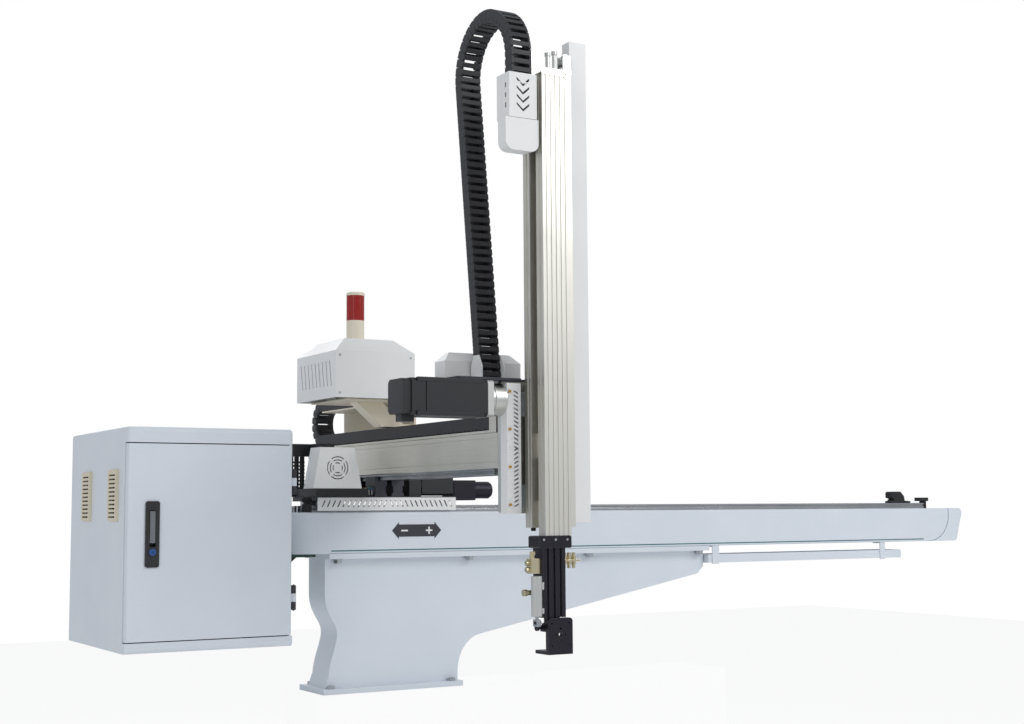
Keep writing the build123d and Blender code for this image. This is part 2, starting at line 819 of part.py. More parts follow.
def lamp_body():
    """The ivory foot and the ivory cap of the signal lamp."""
    x, y = lamp_centre()
    z = valve_bottom + valve_height + roof_height
    foot = rod_z(x, y, z, z + lamp_base_height, lamp_radius - 1)
    foot += rod_z(x, y, z, z + 6, lamp_radius + 1)
    foot += rod_z(x, y, z - 12, z, 8)
    foot -= rod_z(x, y, z + lamp_base_height - 6, z + lamp_base_height, lamp_radius - 5)
    z2 = z + lamp_base_height + lamp_lens_height
    cap = rod_z(x, y, z2, z2 + lamp_cap_height, lamp_radius)
    cap = fillet(cap.edges().filter_by(GeomType.CIRCLE).sort_by(Axis.Z)[-1:], 3)
    return [foot, cap]


def lamp_lens():
    """The hollow red lens with upright flutes."""
    x, y = lamp_centre()
    z = valve_bottom + valve_height + roof_height + lamp_base_height
    lens = rod_z(x, y, z, z + lamp_lens_height, lamp_radius - 1)
    lens -= rod_z(x, y, z, z + lamp_lens_height - 3, lamp_radius - 4)
    flutes = 24
    for i in range(flutes):
        turn = 2 * math.pi * i / flutes
        r = lamp_radius - 1
        lens -= rod_z(x + r * math.cos(turn), y + r * math.sin(turn), z + 3, z + lamp_lens_height - 3, 1.2)
    return lens


def cable_conduits():
    """Three corrugated conduits from their foot at the carriage's rear up to the motor's gland."""
    z0 = carriage_top
    y = 60.0
    gland_y = pinion_axis_y() + 36
    top = z0 + motor_mount_height + 105
    foot = block(carriage_left - 30, carriage_left + 24, y - 12, y + 14, z0, z0 + 8)
    conduits = [foot]
    for i in range(3):
        x = carriage_left - 18 + 16 * i
        path = FilletPolyline((x, y, z0 + 8), (x, y, top), (x, gland_y, top), radius=20)
        tube = sweep(Plane(path @ 0, z_dir=path % 0) * Circle(6.5), path=path)
        for k in range(9):
            tube += rod_z(x, y, z0 + 12 + 10 * k, z0 + 17 + 10 * k, 7.6)
        conduits.append(tube)
    return conduits


def crosswise_beam():
    """The hollow aluminium crosswise beam."""
    beam = block(cross_left, cross_right, cross_front, cross_rear, cross_bottom, cross_top)
    beam = fillet(beam.edges().filter_by(Axis.Y), 3)
    w = cross_wall
    beam -= block(
        cross_left + w, cross_right - w, cross_front, cross_rear, cross_bottom + w, cross_top - w
    )
    for z in (cross_bottom + 14, cross_top - 14):
        beam -= block(cross_left, cross_left + 2, cross_front, cross_rear, z - 2, z + 2)
    return beam


def crosswise_rails():
    """The two rails on the beam's underside."""
    rails = []
    for x in cross_rail_places():
        section = [
            (x + y, cross_bottom - z) for y, z in rail_bar(cross_rail_width, cross_rail_height)
        ]
        rails.append(plate_xz(section, cross_front + 30, cross_rear - 10))
    return rails


def chain_tray():
    """The channel on top of the beam that the chain's lower run lies in."""
    x1 = cross_left + chain_width + 4
    tray = block(cross_left, x1, cross_front + 6, cross_rear, cross_top, cross_top + tray_floor)
    lip = block(x1, x1 + 3, cross_front + 6, cross_rear, cross_top, cross_top + tray_floor + tray_lip)
    anchor = block(cross_left, x1, cross_front + 6, cross_front + 40, cross_top + tray_floor,
                   cross_chain_low + chain_height / 2)
    return tray + lip + anchor


def chain_band(path):
    """A cable chain as a band of its full width and height along its centre line."""
    section = Plane(path @ 0, x_dir=(1, 0, 0), z_dir=path % 0) * Rectangle(chain_width, chain_height)
    return sweep(section, path=path)


def crosswise_chain():
    """The chain from the valve box round its bend to the front end of the crosswise beam."""
    x = chain_x
    low, high = cross_chain_low, cross_chain_high
    bend = cross_chain_bend_y
    start = valve_front + valve_depth + 2
    path = (
        Line((x, start, high), (x, bend, high))
        + ThreePointArc((x, bend, high), (x, bend + cross_chain_radius, (low + high) / 2), (x, bend, low))
        + Line((x, bend, low), (x, cross_front + 40.5, low))
    )
    return chain_band(path)


def arm_plate():
    """The thick plate on the crosswise beam's front end that carries the vertical arm."""
    plate = block(
        arm_plate_left, arm_plate_right, arm_plate_front, cross_front, arm_plate_bottom, arm_plate_top
    )
    plate = fillet(plate.edges().filter_by(Axis.Y), 6)
    gusset = [
        (cross_front, cross_bottom - 22), (cross_front + 24, cross_bottom - 6),
        (cross_front + 24, cross_bottom), (cross_front, cross_bottom),
    ]
    return plate + plate_yz(gusset, cross_left + 30, cross_right - 30)


def arm_motor():
    """The arm's servo motor, lying along X: body with raised corner bars, and encoder end."""
    half = arm_motor_size / 2
    y, z = arm_motor_y, arm_motor_z
    x0, x1 = arm_motor_left, arm_motor_right
    body = block(x0 + 58, x1, y - half, y + half, z - half, z + half)
    body = chamfer(body.edges().filter_by(Axis.X), 9)
    brake = block(x0 + 22, x0 + 56.5, y - half + 1, y + half - 1, z - half + 1, z + half - 1)
    brake = chamfer(brake.edges().filter_by(Axis.X), 9)
    joint = block(x0 + 56, x0 + 59, y - half + 4, y + half - 4, z - half + 4, z + half - 4)
    encoder = block(x0, x0 + 22.5, y - half + 5, y + half - 5, z - half + 3, z + half - 3)
    encoder = chamfer(encoder.edges().filter_by(Axis.X), 8)
    plug = block(x0 + 8, x0 + 40, y - 14, y + 14, z - half - 14, z - half + 4)
    return body + brake + joint + encoder + plug


def arm_reducer():
    """The bright adapter flange and the round planetary reducer between motor and arm plate."""
    half = arm_motor_size / 2
    y, z = arm_motor_y, arm_motor_z
    x0 = arm_motor_right
    flange = block(x0, x0 + reducer_flange, y - half + 1, y + half - 1, z - half + 1, z + half - 1)
    flange = chamfer(flange.edges().filter_by(Axis.X), 4)
    neck = rod_x(x0 + reducer_flange, arm_plate_left - 1, y, z, half - 4)
    pad = block(arm_plate_left - 1, arm_plate_left, arm_plate_front, cross_front, z - 30, z + 30)
    ring = rod_x(x0 + reducer_flange + 8, x0 + reducer_flange + 12, y, z, half - 2)
    return flange + neck + ring + pad


def arm_top_plate():
    """The black plate on top of the arm head, over the motor."""
    z0 = arm_plate_top
    z1 = z0 + top_plate_thickness
    rear = block(top_plate_left, arm_plate_right, arm_plate_front, top_plate_rear, z0, z1)
    nose = block(top_plate_left, stage1_left - 9, arm_plate_front - 28, arm_plate_front, z0, z1)
    plate = rear + nose
    return fillet(plate.edges().filter_by(Axis.Z), 6)


def chain_foot_place():
    """Y of the vertical chain's lower end on the top plate, behind the arm plate."""
    return cross_front + 69.0


def rear_cover():
    """The second white cover behind the chain, and the white bracket that holds the chain's foot."""
    z0 = arm_plate_top + top_plate_thickness
    x0 = top_plate_left + 45
    x1 = arm_plate_right - 62
    y1 = top_plate_rear - 3
    y0 = y1 - rear_cover_depth
    t = sheet
    outer = hip_box(x0, x1, y0, y1, z0, z0 + 50, z0 + 72, 20)
    inner = hip_box(x0 + t, x1 - t, y0 + t, y1 - t, z0 - 1, z0 + 50, z0 + 70, 20)
    foot_y = chain_foot_place()
    xc = chain_x_vertical()
    half = chain_width / 2 + 2
    ear = [
        (foot_y - 26, z0), (foot_y + 26, z0), (foot_y + 26, z0 + 40), (foot_y + 14, z0 + 62),
        (foot_y - 10, z0 + 62), (foot_y - 26, z0 + 34),
    ]
    bracket = plate_yz(ear, xc - half - 3, xc - half) + plate_yz(ear, xc + half, xc + half + 3)
    bracket += block(xc - half - 18, xc + half + 18, foot_y - 26, foot_y + 26, z0, z0 + 3)
    return [outer - inner, bracket]


def chain_x_vertical():
    """X of the vertical chain's middle, over the chain end box."""
    return stage1_left - chain_box_width / 2 + 0.5


def belt_guard():
    """The white slotted guard left of the arm: a front face and a left flank."""
    x0 = arm_plate_left - 1
    x1 = stage1_left - 15
    y0 = arm_plate_front - 31
    z0, z1 = arm_plate_bottom, arm_plate_top - 6
    front = block(x0, x1, y0, y0 + sheet, z0, z1)
    flank = block(x0, x0 + sheet, y0, arm_plate_front, z0, z1)
    top = block(x0, x1, y0, arm_plate_front, z1 - sheet, z1)
    slots = 14
    middle = (z0 + z1) / 2
    for i in range(2 * slots):
        z = z0 + 14 + (z1 - z0 - 34) * i / (2 * slots - 1)
        lean = 6 if z < middle else -6
        x = x0 + 18
        slot = [(x, z), (x, z + 4), (x + 12, z + 4 + lean), (x + 12, z + lean)]
        front -= plate_xz(slot, y0 - 1, y0 + sheet + 1)
    screws = None
    for z in (z0 + 8, middle, z1 - 12):
        head = rod_y(x0 + 7, y0 - 2.5, y0, z, 4)
        screws = head if screws is None else screws + head
    return front + flank + top + screws


def stage1_rail_places():
    """X of the two rails on the back of stage 1."""
    return (stage1_left + 25, stage1_right - 25)


def upright_rail(x, y, z0, z1, width, height, side):
    """A rail standing on end: foot on the plane y, head towards the given side."""
    section = [(x + a, y + side * b) for a, b in rail_bar(width, height)]
    face = make_face(Polyline(*[(px, py, z0) for px, py in section], close=True))
    return extrude(face, amount=z1 - z0, dir=(0, 0, 1))


def arm_slider_blocks():
    """Four blocks on the arm plate that guide stage 1."""
    pieces = []
    y_rail = stage1_back
    top = y_rail + stage_block_height
    for x in stage1_rail_places():
        for z in (arm_plate_bottom + 38, arm_plate_top - 52):
            body = block(x - 17, x + 17, y_rail + 5, top, z - 29, z + 29)
            half = stage_rail_width / 2 + slide_gap
            body -= block(x - half, x + half, y_rail, y_rail + stage_rail_height + slide_gap,
                          z - 29, z + 29)
            pieces.append(body)
    return pieces


def stage1_profile():
    """The first stage: a hollow grooved profile, its two rails, and the blocks that guide stage 2."""
    x0, x1 = stage1_left, stage1_right
    y0, y1 = stage1_front, stage1_back
    z0, z1 = stage1_bottom, stage1_top
    body = block(x0, x1, y0, y1, z0, z1)
    body -= block(x0 + 5, x1 - 5, y0 + 5, y1 - 5, z0 + 12, z1 - 12)
    body -= block(x0, x0 + 2.5, y0 + 9, y0 + 15, z0, z1)
    body -= block(x1 - 22, x1 - 14, y0, y0 + 2.5, z0, z1)
    pieces = [body]
    for x in stage1_rail_places():
        pieces.append(upright_rail(x, y1, z0 + 6, z1 - 6, stage_rail_width, stage_rail_height, 1))
    xc = stage2_left + stage2_width / 2
    half = stage2_rail_width / 2 + slide_gap
    for z in (z0 + 34, z0 + 190):
        guide = block(xc - 25, xc + 25, stage2_back + 2, y0, z - 28, z + 28)
        guide -= block(xc - half, xc + half, stage2_back, stage2_back + stage2_rail_height + slide_gap,
                       z - 28, z + 28)
        pieces.append(guide)
    return pieces


def stage1_cover():
    """The tall white belt cover on stage 1's right side, a channel open at the back."""
    x0, x1 = cover_left, cover_left + cover_width
    y0, y1 = stage1_front + 12, stage1_back + 16
    z0, z1 = cover_bottom, cover_top
    shell = block(x0, x1, y0, y1, z0, z1)
    shell -= block(x0 + sheet, x1 - sheet, y0 + sheet, y1, z0 + sheet, z1 - sheet)
    for z in (z0 + 60, (z0 + z1) / 2, z1 - 150):
        shell += block(stage1_right, x0, y0 + 2, y0 + 14, z - 10, z + 10)
    return shell


def pulley_place():
    """X, Y and Z of the belt pulley's axis above stage 1."""
    return (stage1_right - 11, stage1_front + stage1_depth / 2, stage1_top + 36)


def stage1_top_bracket():
    """The end plate of stage 1 with pulley cheeks, a clamp plate and two belt tension posts."""
    z0 = stage1_top
    y0, y1 = stage1_front, stage1_back
    plate = block(stage1_left, stage1_right + 3, y0, y1, z0, z0 + 8)
    clamp = block(stage1_left + 4, stage1_left + 36, y0 + 2, y0 + 8, z0 + 8, z0 + 44)
    x, y, z = pulley_place()
    cheeks = None
    for yy in (y - 13, y + 9):
        cheek = block(x - 11, x + 11, yy, yy + 4, z0 + 8, z + 10)
        cheeks = cheek if cheeks is None else cheeks + cheek
    axle = rod_y(x, y - 13, y + 13, z, 4)
    posts = None
    for px, tall in ((x - 47, 48.0), (x - 28, 54.0)):
        post = rod_z(px, y, z0 + 8, z0 + tall - 8, 5) + rod_z(px, y, z0 + tall - 8, z0 + tall, 7)
        posts = post if posts is None else posts + post
    return plate + clamp + cheeks + axle + posts


def belt_pulley():
    """The toothed belt's return pulley, a flanged wheel."""
    x, y, z = pulley_place()
    wheel = rod_y(x, y - 8.4, y + 8.4, z, 12)
    wheel += rod_y(x, y - 8.4, y - 6.9, z, 14) + rod_y(x, y + 6.9, y + 8.4, z, 14)
    return wheel - rod_y(x, y - 9, y + 9, z, 4 + pin_gap)


def chevron_box():
    """The white box that takes the chain's upper end, and the rounded cover below it."""
    x0, x1 = stage1_left - chain_box_width, stage1_left
    y0, y1 = stage2_front + 8, stage1_front + 20
    z0, z1 = chain_box_top - chain_box_height, chain_box_top
    t = sheet
    box = block(x0, x1, y0, y1, z0, z1) - block(x0 + t, x1 - t, y0 + t, y1 - t, z0 + t, z1)
    xm = (x0 + x1) / 2
    arms = chain_box_width * 0.23
    for i in range(4):
        z = z0 + 30 + 20 * i
        left = [(xm - arms, z), (xm, z - 15), (xm, z - 9), (xm - arms, z + 6)]
        right = [(xm + arms, z), (xm, z - 15), (xm, z - 9), (xm + arms, z + 6)]
        box -= plate_xz(left, y0 - 1, y0 + t + 1) + plate_xz(right, y0 - 1, y0 + t + 1)
    for z in (z0 + 24, z0 + 48, z0 + 72):
        box -= block(x0 - 1, x0 + t + 1, y0 + 14, y0 + 20, z, z + 12)
    ledge = block(x0 + t, x1 - t, y0 + t, y1 - t, z1 - 24, z1 - 20)
    low = block(x0 - 10, x1 + 5, y0, y1 - 22, z0 - chain_box_lower, z0 - 1)
    low = fillet(low.edges().filter_by(Axis.Y).sort_by(Axis.Z)[:2], 22)
    low -= block(x0 - 8, x1 + 3, y0 + t, y1 - 22, z0 - 54, z0 - 3)
    tie = block(x1 - 20, x1, y1 - 22, y1 - 18, z0 - 60, z0)
    tie += block(x1 - 6, x1, y1 - 22, y1 - 18, z0 - 60, z0)
    return [box + ledge, low + tie]


def vertical_chain_path():
    """Centre line: up the leaning rear strand, over the top and down into the chain end box."""
    x = chain_x_vertical()
    lean = math.radians(vertical_chain_lean)
    r = vertical_chain_radius
    foot_z = arm_plate_top + top_plate_thickness + 6
    y_end = stage2_front + 30
    zc = stage1_top + chain_centre_rise
    yc = y_end + r
    tangent = (yc + r * math.cos(lean), zc - r * math.sin(lean))
    foot_y = tangent[0] - (tangent[1] - foot_z) * math.tan(lean)
    return (
        Line((x, foot_y, foot_z), (x, tangent[0], tangent[1]))
        + ThreePointArc((x, tangent[0], tangent[1]), (x, yc, zc + r), (x, y_end, zc))
        + Line((x, y_end, zc), (x, y_end, chain_box_top - chain_plug_depth))
    )


def vertical_chain():
    """The tall chain loop that feeds the arm."""
    return chain_band(vertical_chain_path())


def stage2_profile():
    """The second stage: ribbed silver profile, its rail behind, and its black end cap."""
    x0, x1 = stage2_left, stage2_left + stage2_width
    y0, y1 = stage2_front, stage2_back
    z0, z1 = stage2_bottom, stage2_top - 6
    body = block(x0, x1, y0, y1, z0, z1)
    ribs = 5
    for i in range(ribs):
        x = x0 + 9 + (stage2_width - 18) * i / (ribs - 1)
        body -= block(x - 2, x + 2, y0, y0 + 1.5, z0, z1)
    body -= block(x0 + 6, x1 - 6, y0 + 6, y1 - 6, z0 + 10, z1 - 10)
    body -= block(x0, x0 + 2, y0 + 12, y0 + 18, z0, z1)
    cap = block(x0 - 1, x1 + 1, y0 - 1, y1, z1, stage2_top)
    xc = (x0 + x1) / 2
    rail = upright_rail(xc, y1, z0 + 5, z1 - 5, stage2_rail_width, stage2_rail_height, 1)
    return [body, cap, rail]


def wrist_column():
    """The black clamp under stage 2 and the grooved column below it, with the pivot ear."""
    x0, x1 = column_left, column_left + column_width
    y0 = stage2_front
    y1 = y0 + column_depth
    clamp = block(x0 - 12, stage2_left + stage2_width - 3, y0 - 4, y1, clamp_bottom, stage2_bottom)
    clamp = chamfer(clamp.edges().filter_by(Axis.Y), 3)
    column = block(x0, x1, y0, y1, column_bottom, clamp_bottom)
    for x in (x0 + 13, (x0 + x1) / 2, x1 - 13):
        column -= block(x - 3, x + 3, y0, y0 + 5, column_bottom, clamp_bottom)
    e0, e1 = x0 + 18, x1 - 12
    ear = block(e0, e1, pivot_y - 10, pivot_y + 10, pivot_z, column_bottom)
    ear += rod_x(e0, e1, pivot_y, pivot_z, 10)
    ear -= rod_x(e0 - 1, e1 + 1, pivot_y, pivot_z, pivot_radius + pin_gap)
    return [clamp, column + ear]


def rod_place():
    """X and Y of the flip cylinder's axis, in line with the middle of the crank pin's swing."""
    return (column_left - 15, pivot_y - crank_radius * (1 + math.sqrt(0.5)) / 2)


def flip_cylinder():
    """The flip cylinder beside the column, on its two brackets."""
    x, y = rod_place()
    low = column_bottom + 4
    high = low + cylinder_length
    bore = rod_z(x, y, low - 1, high - 8, rod_radius + 0.4)
    body = rod_z(x, y, low, high, cylinder_radius) - bore
    x1 = column_left
    lugs = block(x, x1, y - 8, y + 8, high - 30, high - 14) + block(x, x1, y - 8, y + 8, low + 6, low + 18)
    return body + (lugs - bore)


def flip_rod():
    """The cylinder rod and its slotted end block, which the crank pin runs in."""
    x, y = rod_place()
    pin_z = pivot_z + crank_radius * math.sqrt(0.5)
    rod = rod_z(x, y, pin_z + 6, column_bottom + cylinder_length - 8, rod_radius)
    head = block(x - 5, x + 5, y - 9, y + 9, pin_z - 8, pin_z + 8)
    slot = block(x - 6, x + 6, y - 6.2, y + 6.2, pin_z - 3.8, pin_z + 3.8)
    return rod + head - slot


def gripper_plate():
    """The L-shaped gripper plate with two hinge cheeks, and its pivot pin with the crank."""
    x0, x1 = stage2_left, stage2_left + plate_width
    y0 = stage2_front - plate_stand
    y1 = y0 + plate_thickness
    face = block(x0, x1, y0, y1, plate_bottom, plate_top)
    face = fillet(face.edges().filter_by(Axis.Y).sort_by(Axis.Z)[-2:], 8)
    leg = block(x0, x1, y0, y0 + plate_leg, plate_bottom, plate_bottom + plate_leg_thickness)
    plate = face + leg
    for xa, xb in ((x0, x0 + 6), (x1 - 21, x1 - 14)):
        cheek = [
            (y1 - 1, pivot_z - 10), (y1 - 1, pivot_z + 10), (pivot_y, pivot_z + 10),
            (pivot_y + 10, pivot_z), (pivot_y + 10, pivot_z - 10),
        ]
        plate += plate_yz(cheek, xa, xb)
    plate -= rod_x(x0 - 1, x1 + 1, pivot_y, pivot_z, pivot_radius + 0.02)
    xm = (x0 + x1) / 2
    zm = (plate_bottom + plate_leg_thickness + plate_top) / 2
    for sx in (-1, 1):
        for sz in (-1, 1):
            x = xm + sx * plate_outer_pitch_x / 2
            z = zm + sz * plate_outer_pitch_z / 2
            plate -= rod_y(x, y0 - 1, y1 + 1, z, plate_hole_radius)
    for i in range(4):
        turn = math.pi / 2 * i
        x = xm + plate_inner_pcd / 2 * math.cos(turn)
        z = zm + plate_inner_pcd / 2 * math.sin(turn)
        plate -= rod_y(x, y0 - 1, y1 + 1, z, plate_hole_radius)
    plate -= rod_y(xm, y0 - 1, y1 + 1, zm, plate_bore_radius)
    c0, c1 = column_left - 9, column_left - 4
    pin = rod_x(c0, x1 - 13, pivot_y, pivot_z, pivot_radius)
    reach = crank_radius * math.sqrt(0.5)
    arm = Pos((c0 + c1) / 2, pivot_y - reach / 2, pivot_z + reach / 2) * Rot(-45, 0, 0) * Box(
        c1 - c0, crank_radius, 8
    )
    crank = arm + rod_x(c0, c1, pivot_y, pivot_z, 8)
    crank += rod_x(c0, c1, pivot_y - reach, pivot_z + reach, 4.5)
    crank += rod_x(c0 - 11, c1, pivot_y - reach, pivot_z + reach, 2.5)
    return [plate, pin + crank]


def wrist_fittings():
    """Brass bulkhead fittings on their plate, the valve block with its elbows, and the flow valve."""
    x0, x1 = column_left, column_left + column_width
    y = stage2_front + 20
    z = column_bottom + column_length * 0.8
    shelf = block(x1, x1 + 44, y - 14, y + 14, z, z + 4)
    for i in range(3):
        x = x1 + 9 + 13 * i
        shelf += hex_head(x, y, z + 4, z + 12, 11) + rod_z(x, y, z + 12, z + 20, 4.5)
        shelf += hex_head(x, y, z - 8, z, 10) + rod_z(x, y, z - 16, z - 8, 4)
    low = z - 26
    body = block(x0 - 26, x0, y - 12, y + 10, low, low + 34)
    body += rod_x(x0 - 34, x0 - 26, y, low + 9, 6) + rod_x(x0 - 34, x0 - 26, y, low + 24, 6)
    body += rod_z(x0 - 16, y, low + 34, low + 42, 7) + hex_head(x0 - 16, y, low + 42, low + 50, 13)
    y_low = y + 12
    z_low = column_bottom + 56
    valve = rod_x(x0 - 26, x0, y_low, z_low, 6) + rod_x(x0 - 34, x0 - 26, y_low, z_low, 8)
    return [shelf, body, valve]


def cabinet_body():
    """The hollow sheet cabinet, open in front for the door, with rounded front lips."""
    x0, x1 = cabinet_left, cabinet_right
    y0 = cabinet_front + door_thickness
    y1 = cabinet_front + cabinet_depth
    z0, z1 = cabinet_bottom, cabinet_top
    w = cabinet_wall
    shell = block(x0, x1, y0, y1, z0, z1)
    shell += block(x0, x1, cabinet_front, y0, z0, z0 + door_strip_bottom)
    shell += block(x0, x1, cabinet_front, y0, z1 - door_strip_top, z1)
    top_edges = [e for e in shell.edges().filter_by(Axis.X) if e.center().Y < cabinet_front + 1
                 and (e.center().Z > z1 - 1 or e.center().Z < z0 + 1)]
    shell = fillet(top_edges, 12)
    shell = fillet(shell.edges().filter_by(Axis.Y).sort_by(Axis.Z)[-2:], 8)
    shell -= block(x0 + w, x1 - w, y0 - 1, y1 - w, z0 + door_strip_bottom, z1 - door_strip_top)
    shell -= block(x0 + w, x1 - w, y0 + 6, y1 - w, z0 + w, z1 - w)
    for y in louvre_places():
        for i in range(11):
            z = louvre_bottom() + 8 + 10 * i
            shell -= block(x0 - 1, x0 + w + 1, y + 8, y + 62, z, z + 4)
    return shell


def louvre_places():
    """Y of the front edge of each louvre cover on the cabinet's left side."""
    return (cabinet_front + 66, cabinet_front + 306)


def louvre_bottom():
    """Height of the louvre covers' lower edge."""
    return cabinet_top - 224


def cabinet_vent_covers():
    """Two pressed louvre covers on the cabinet's left side."""
    covers = []
    z0 = louvre_bottom()
    for y in louvre_places():
        x1 = cabinet_left
        cover = block(x1 - 8, x1, y, y + 70, z0, z0 + 124)
        cover = chamfer(cover.edges().filter_by(Axis.Y).sort_by(Axis.X)[:2], 4)
        cover -= block(x1 - 6, x1, y + 3, y + 67, z0 + 3, z0 + 121)
        for i in range(11):
            z = z0 + 8 + 10 * i
            cover -= block(x1 - 9, x1 - 5, y + 8, y + 62, z, z + 4)
        covers.append(cover)
    return covers


def hinge_axis():
    """X and Y of the door's hinge axis, at the right front edge of the cabinet."""
    return (cabinet_right + 7, cabinet_front + door_thickness / 2)


def door_limits():
    """Z of the door's lower and upper edge."""
    return (
        cabinet_bottom + door_strip_bottom + door_gap,
        cabinet_top - door_strip_top - door_gap,
    )


def hinge_heights():
    """Z of the middle of each cabinet hinge."""
    low, high = door_limits()
    return (low + 90, high - 90)


def cabinet_hinges():
    """The black hinge leaves on the cabinet's right side, with their pins."""
    x, y = hinge_axis()
    hinges = []
    for z in hinge_heights():
        leaf = block(cabinet_right, cabinet_right + 3, cabinet_front + door_thickness, y + 40,
                     z - 30, z + 30)
        knuckle = rod_z(x, y, z - 30, z - 10.3, 6) + rod_z(x, y, z + 10.3, z + 30, 6)
        for a, b in ((z - 30, z - 10.3), (z + 10.3, z + 30)):
            knuckle += block(cabinet_right, x + 1, y, cabinet_front + door_thickness + 4, a, b)
        knuckle = knuckle - block(cabinet_left, cabinet_right, y - 20, y + 60, z - 31, z + 31)
        hinges.append(leaf + knuckle + rod_z(x, y, z - 32, z + 32, 2.5))
    return hinges


def cabinet_door():
    """The door leaf with its folded rim and its two hinge knuckles."""
    low, high = door_limits()
    x0, x1 = cabinet_left + 2, cabinet_right - 2
    y0 = cabinet_front
    y1 = cabinet_front + door_thickness - 0.6
    leaf = block(x0, x1, y0, y1, low, high)
    leaf = fillet(leaf.edges().filter_by(Axis.Z).sort_by(Axis.Y)[:2], 5)
    leaf -= block(x0 + 2, x1 - 2, y0 + 2, y1, low + 2, high - 2)
    hx, hy = hinge_axis()
    for z in hinge_heights():
        knuckle = rod_z(hx, hy, z - 10, z + 10, 6)
        knuckle += block(x1 - 1.5, hx, hy - 3, hy + 1, z - 10, z + 10)
        leaf += knuckle - rod_z(hx, hy, z - 11, z + 11, 2.5 + pin_gap)
    x, z = lock_place()
    leaf -= block(x - 11, x + 11, y0 - 1, y0 + 3, z - 60, z + 60)
    return leaf


def lock_place():
    """X and Z of the middle of the door lock."""
    return (cabinet_left + 62, cabinet_bottom + 278)


def lock_escutcheon():
    """The black recessed frame of the door lock."""
    x, z = lock_place()
    y0 = cabinet_front
    frame = block(x - 17, x + 17, y0 - 4, y0, z - 78, z + 78)
    frame = fillet(frame.edges().filter_by(Axis.Y), 6)
    frame += block(x - 10.5, x + 10.5, y0, y0 + 16, z - 59, z + 59)
    frame -= block(x - 8, x + 8, y0 - 5, y0 + 13, z - 30, z + 56)
    frame -= rod_y(x, y0 - 5, y0 + 13, z - 42, 8.5)
    return frame


def lock_lever():
    """The swing handle that lies in the frame and swings out to the front at its upper end."""
    x, z = lock_place()
    y0 = cabinet_front
    lever = block(x - 7, x + 7, y0 - 6, y0 + 2, z - 20, z + 54)
    lever = fillet(lever.edges().filter_by(Axis.Z).sort_by(Axis.Y)[:2], 2.5)
    hub = rod_x(x - 8 + slide_gap, x + 8 - slide_gap, y0 + 3, z - 17, 6)
    return lever + hub


def lock_button():
    """The round push button that frees the lever."""
    x, z = lock_place()
    y0 = cabinet_front
    return rod_y(x, y0 - 7, y0 + 6, z - 42, 8.2) - rod_y(x, y0 - 8, y0 - 5, z - 42, 4)


def drive_panel():
    """The galvanised back panel of the cabinet with four servo drives and a power supply."""
    x0, x1 = cabinet_left + 30, cabinet_right - 30
    y1 = cabinet_front + cabinet_depth - cabinet_wall
    z0, z1 = cabinet_bottom + 40, cabinet_top - 60
    pieces = [
        block(x0, x1, y1 - 12, y1 - 10, z0, z1)
        + block(x0, x0 + 20, y1 - 10, y1, z0, z1) + block(x1 - 20, x1, y1 - 10, y1, z0, z1)
    ]
    for i in range(4):
        x = x0 + 16 + 62 * i
        pieces.append(block(x, x + 50, y1 - 152, y1 - 12, z1 - 190, z1 - 30))
    pieces.append(block(x0 + 20, x0 + 190, y1 - 92, y1 - 12, z0 + 40, z0 + 140))
    return pieces


def cabinet_bracket():
    """The dark plate bracket between the beam's left end and the cabinet's right side."""
    x0 = cabinet_right
    z1 = beam_bottom
    arm = block(x0 + 4, beam_left - 30, -60, 60, z1 - 8, z1)
    plate = block(x0, x0 + 4, -80, 80, z1 - 120, z1 + 60)
    rib_end = beam_left - cap_left_length * 0.53
    rib = plate_xz([(x0 + 4, z1 - 110), (x0 + 4, z1 - 8), (rib_end, z1 - 8)], -4, 4)
    return arm + plate + rib


def lockout_place():
    """X and Y of the air lock-out valve on the left end of the beam."""
    return (beam_left - cap_left_length + 18, -18.0)


def air_lockout_body():
    """The air lock-out valve's body on the beam's left end, with its inlet fitting."""
    x, y = lockout_place()
    z = beam_top
    body = block(x - 14, x + 14, y - 12, y + 12, z, z + 14)
    inlet = rod_y(x, y - 26, y - 12, z + 7, 7)
    inlet -= rod_y(x, y - 27, y - 16, z + 7, inlet_radius)
    stem = rod_z(x, y, z + 14, z + 26, 5)
    return body + inlet + stem


def air_lockout_slide():
    """The red slide collar of the lock-out valve."""
    x, y = lockout_place()
    z = beam_top
    return rod_z(x, y, z + 20, z + 34, 11) - rod_z(x, y, z + 20, z + 33, 5 + pin_gap)


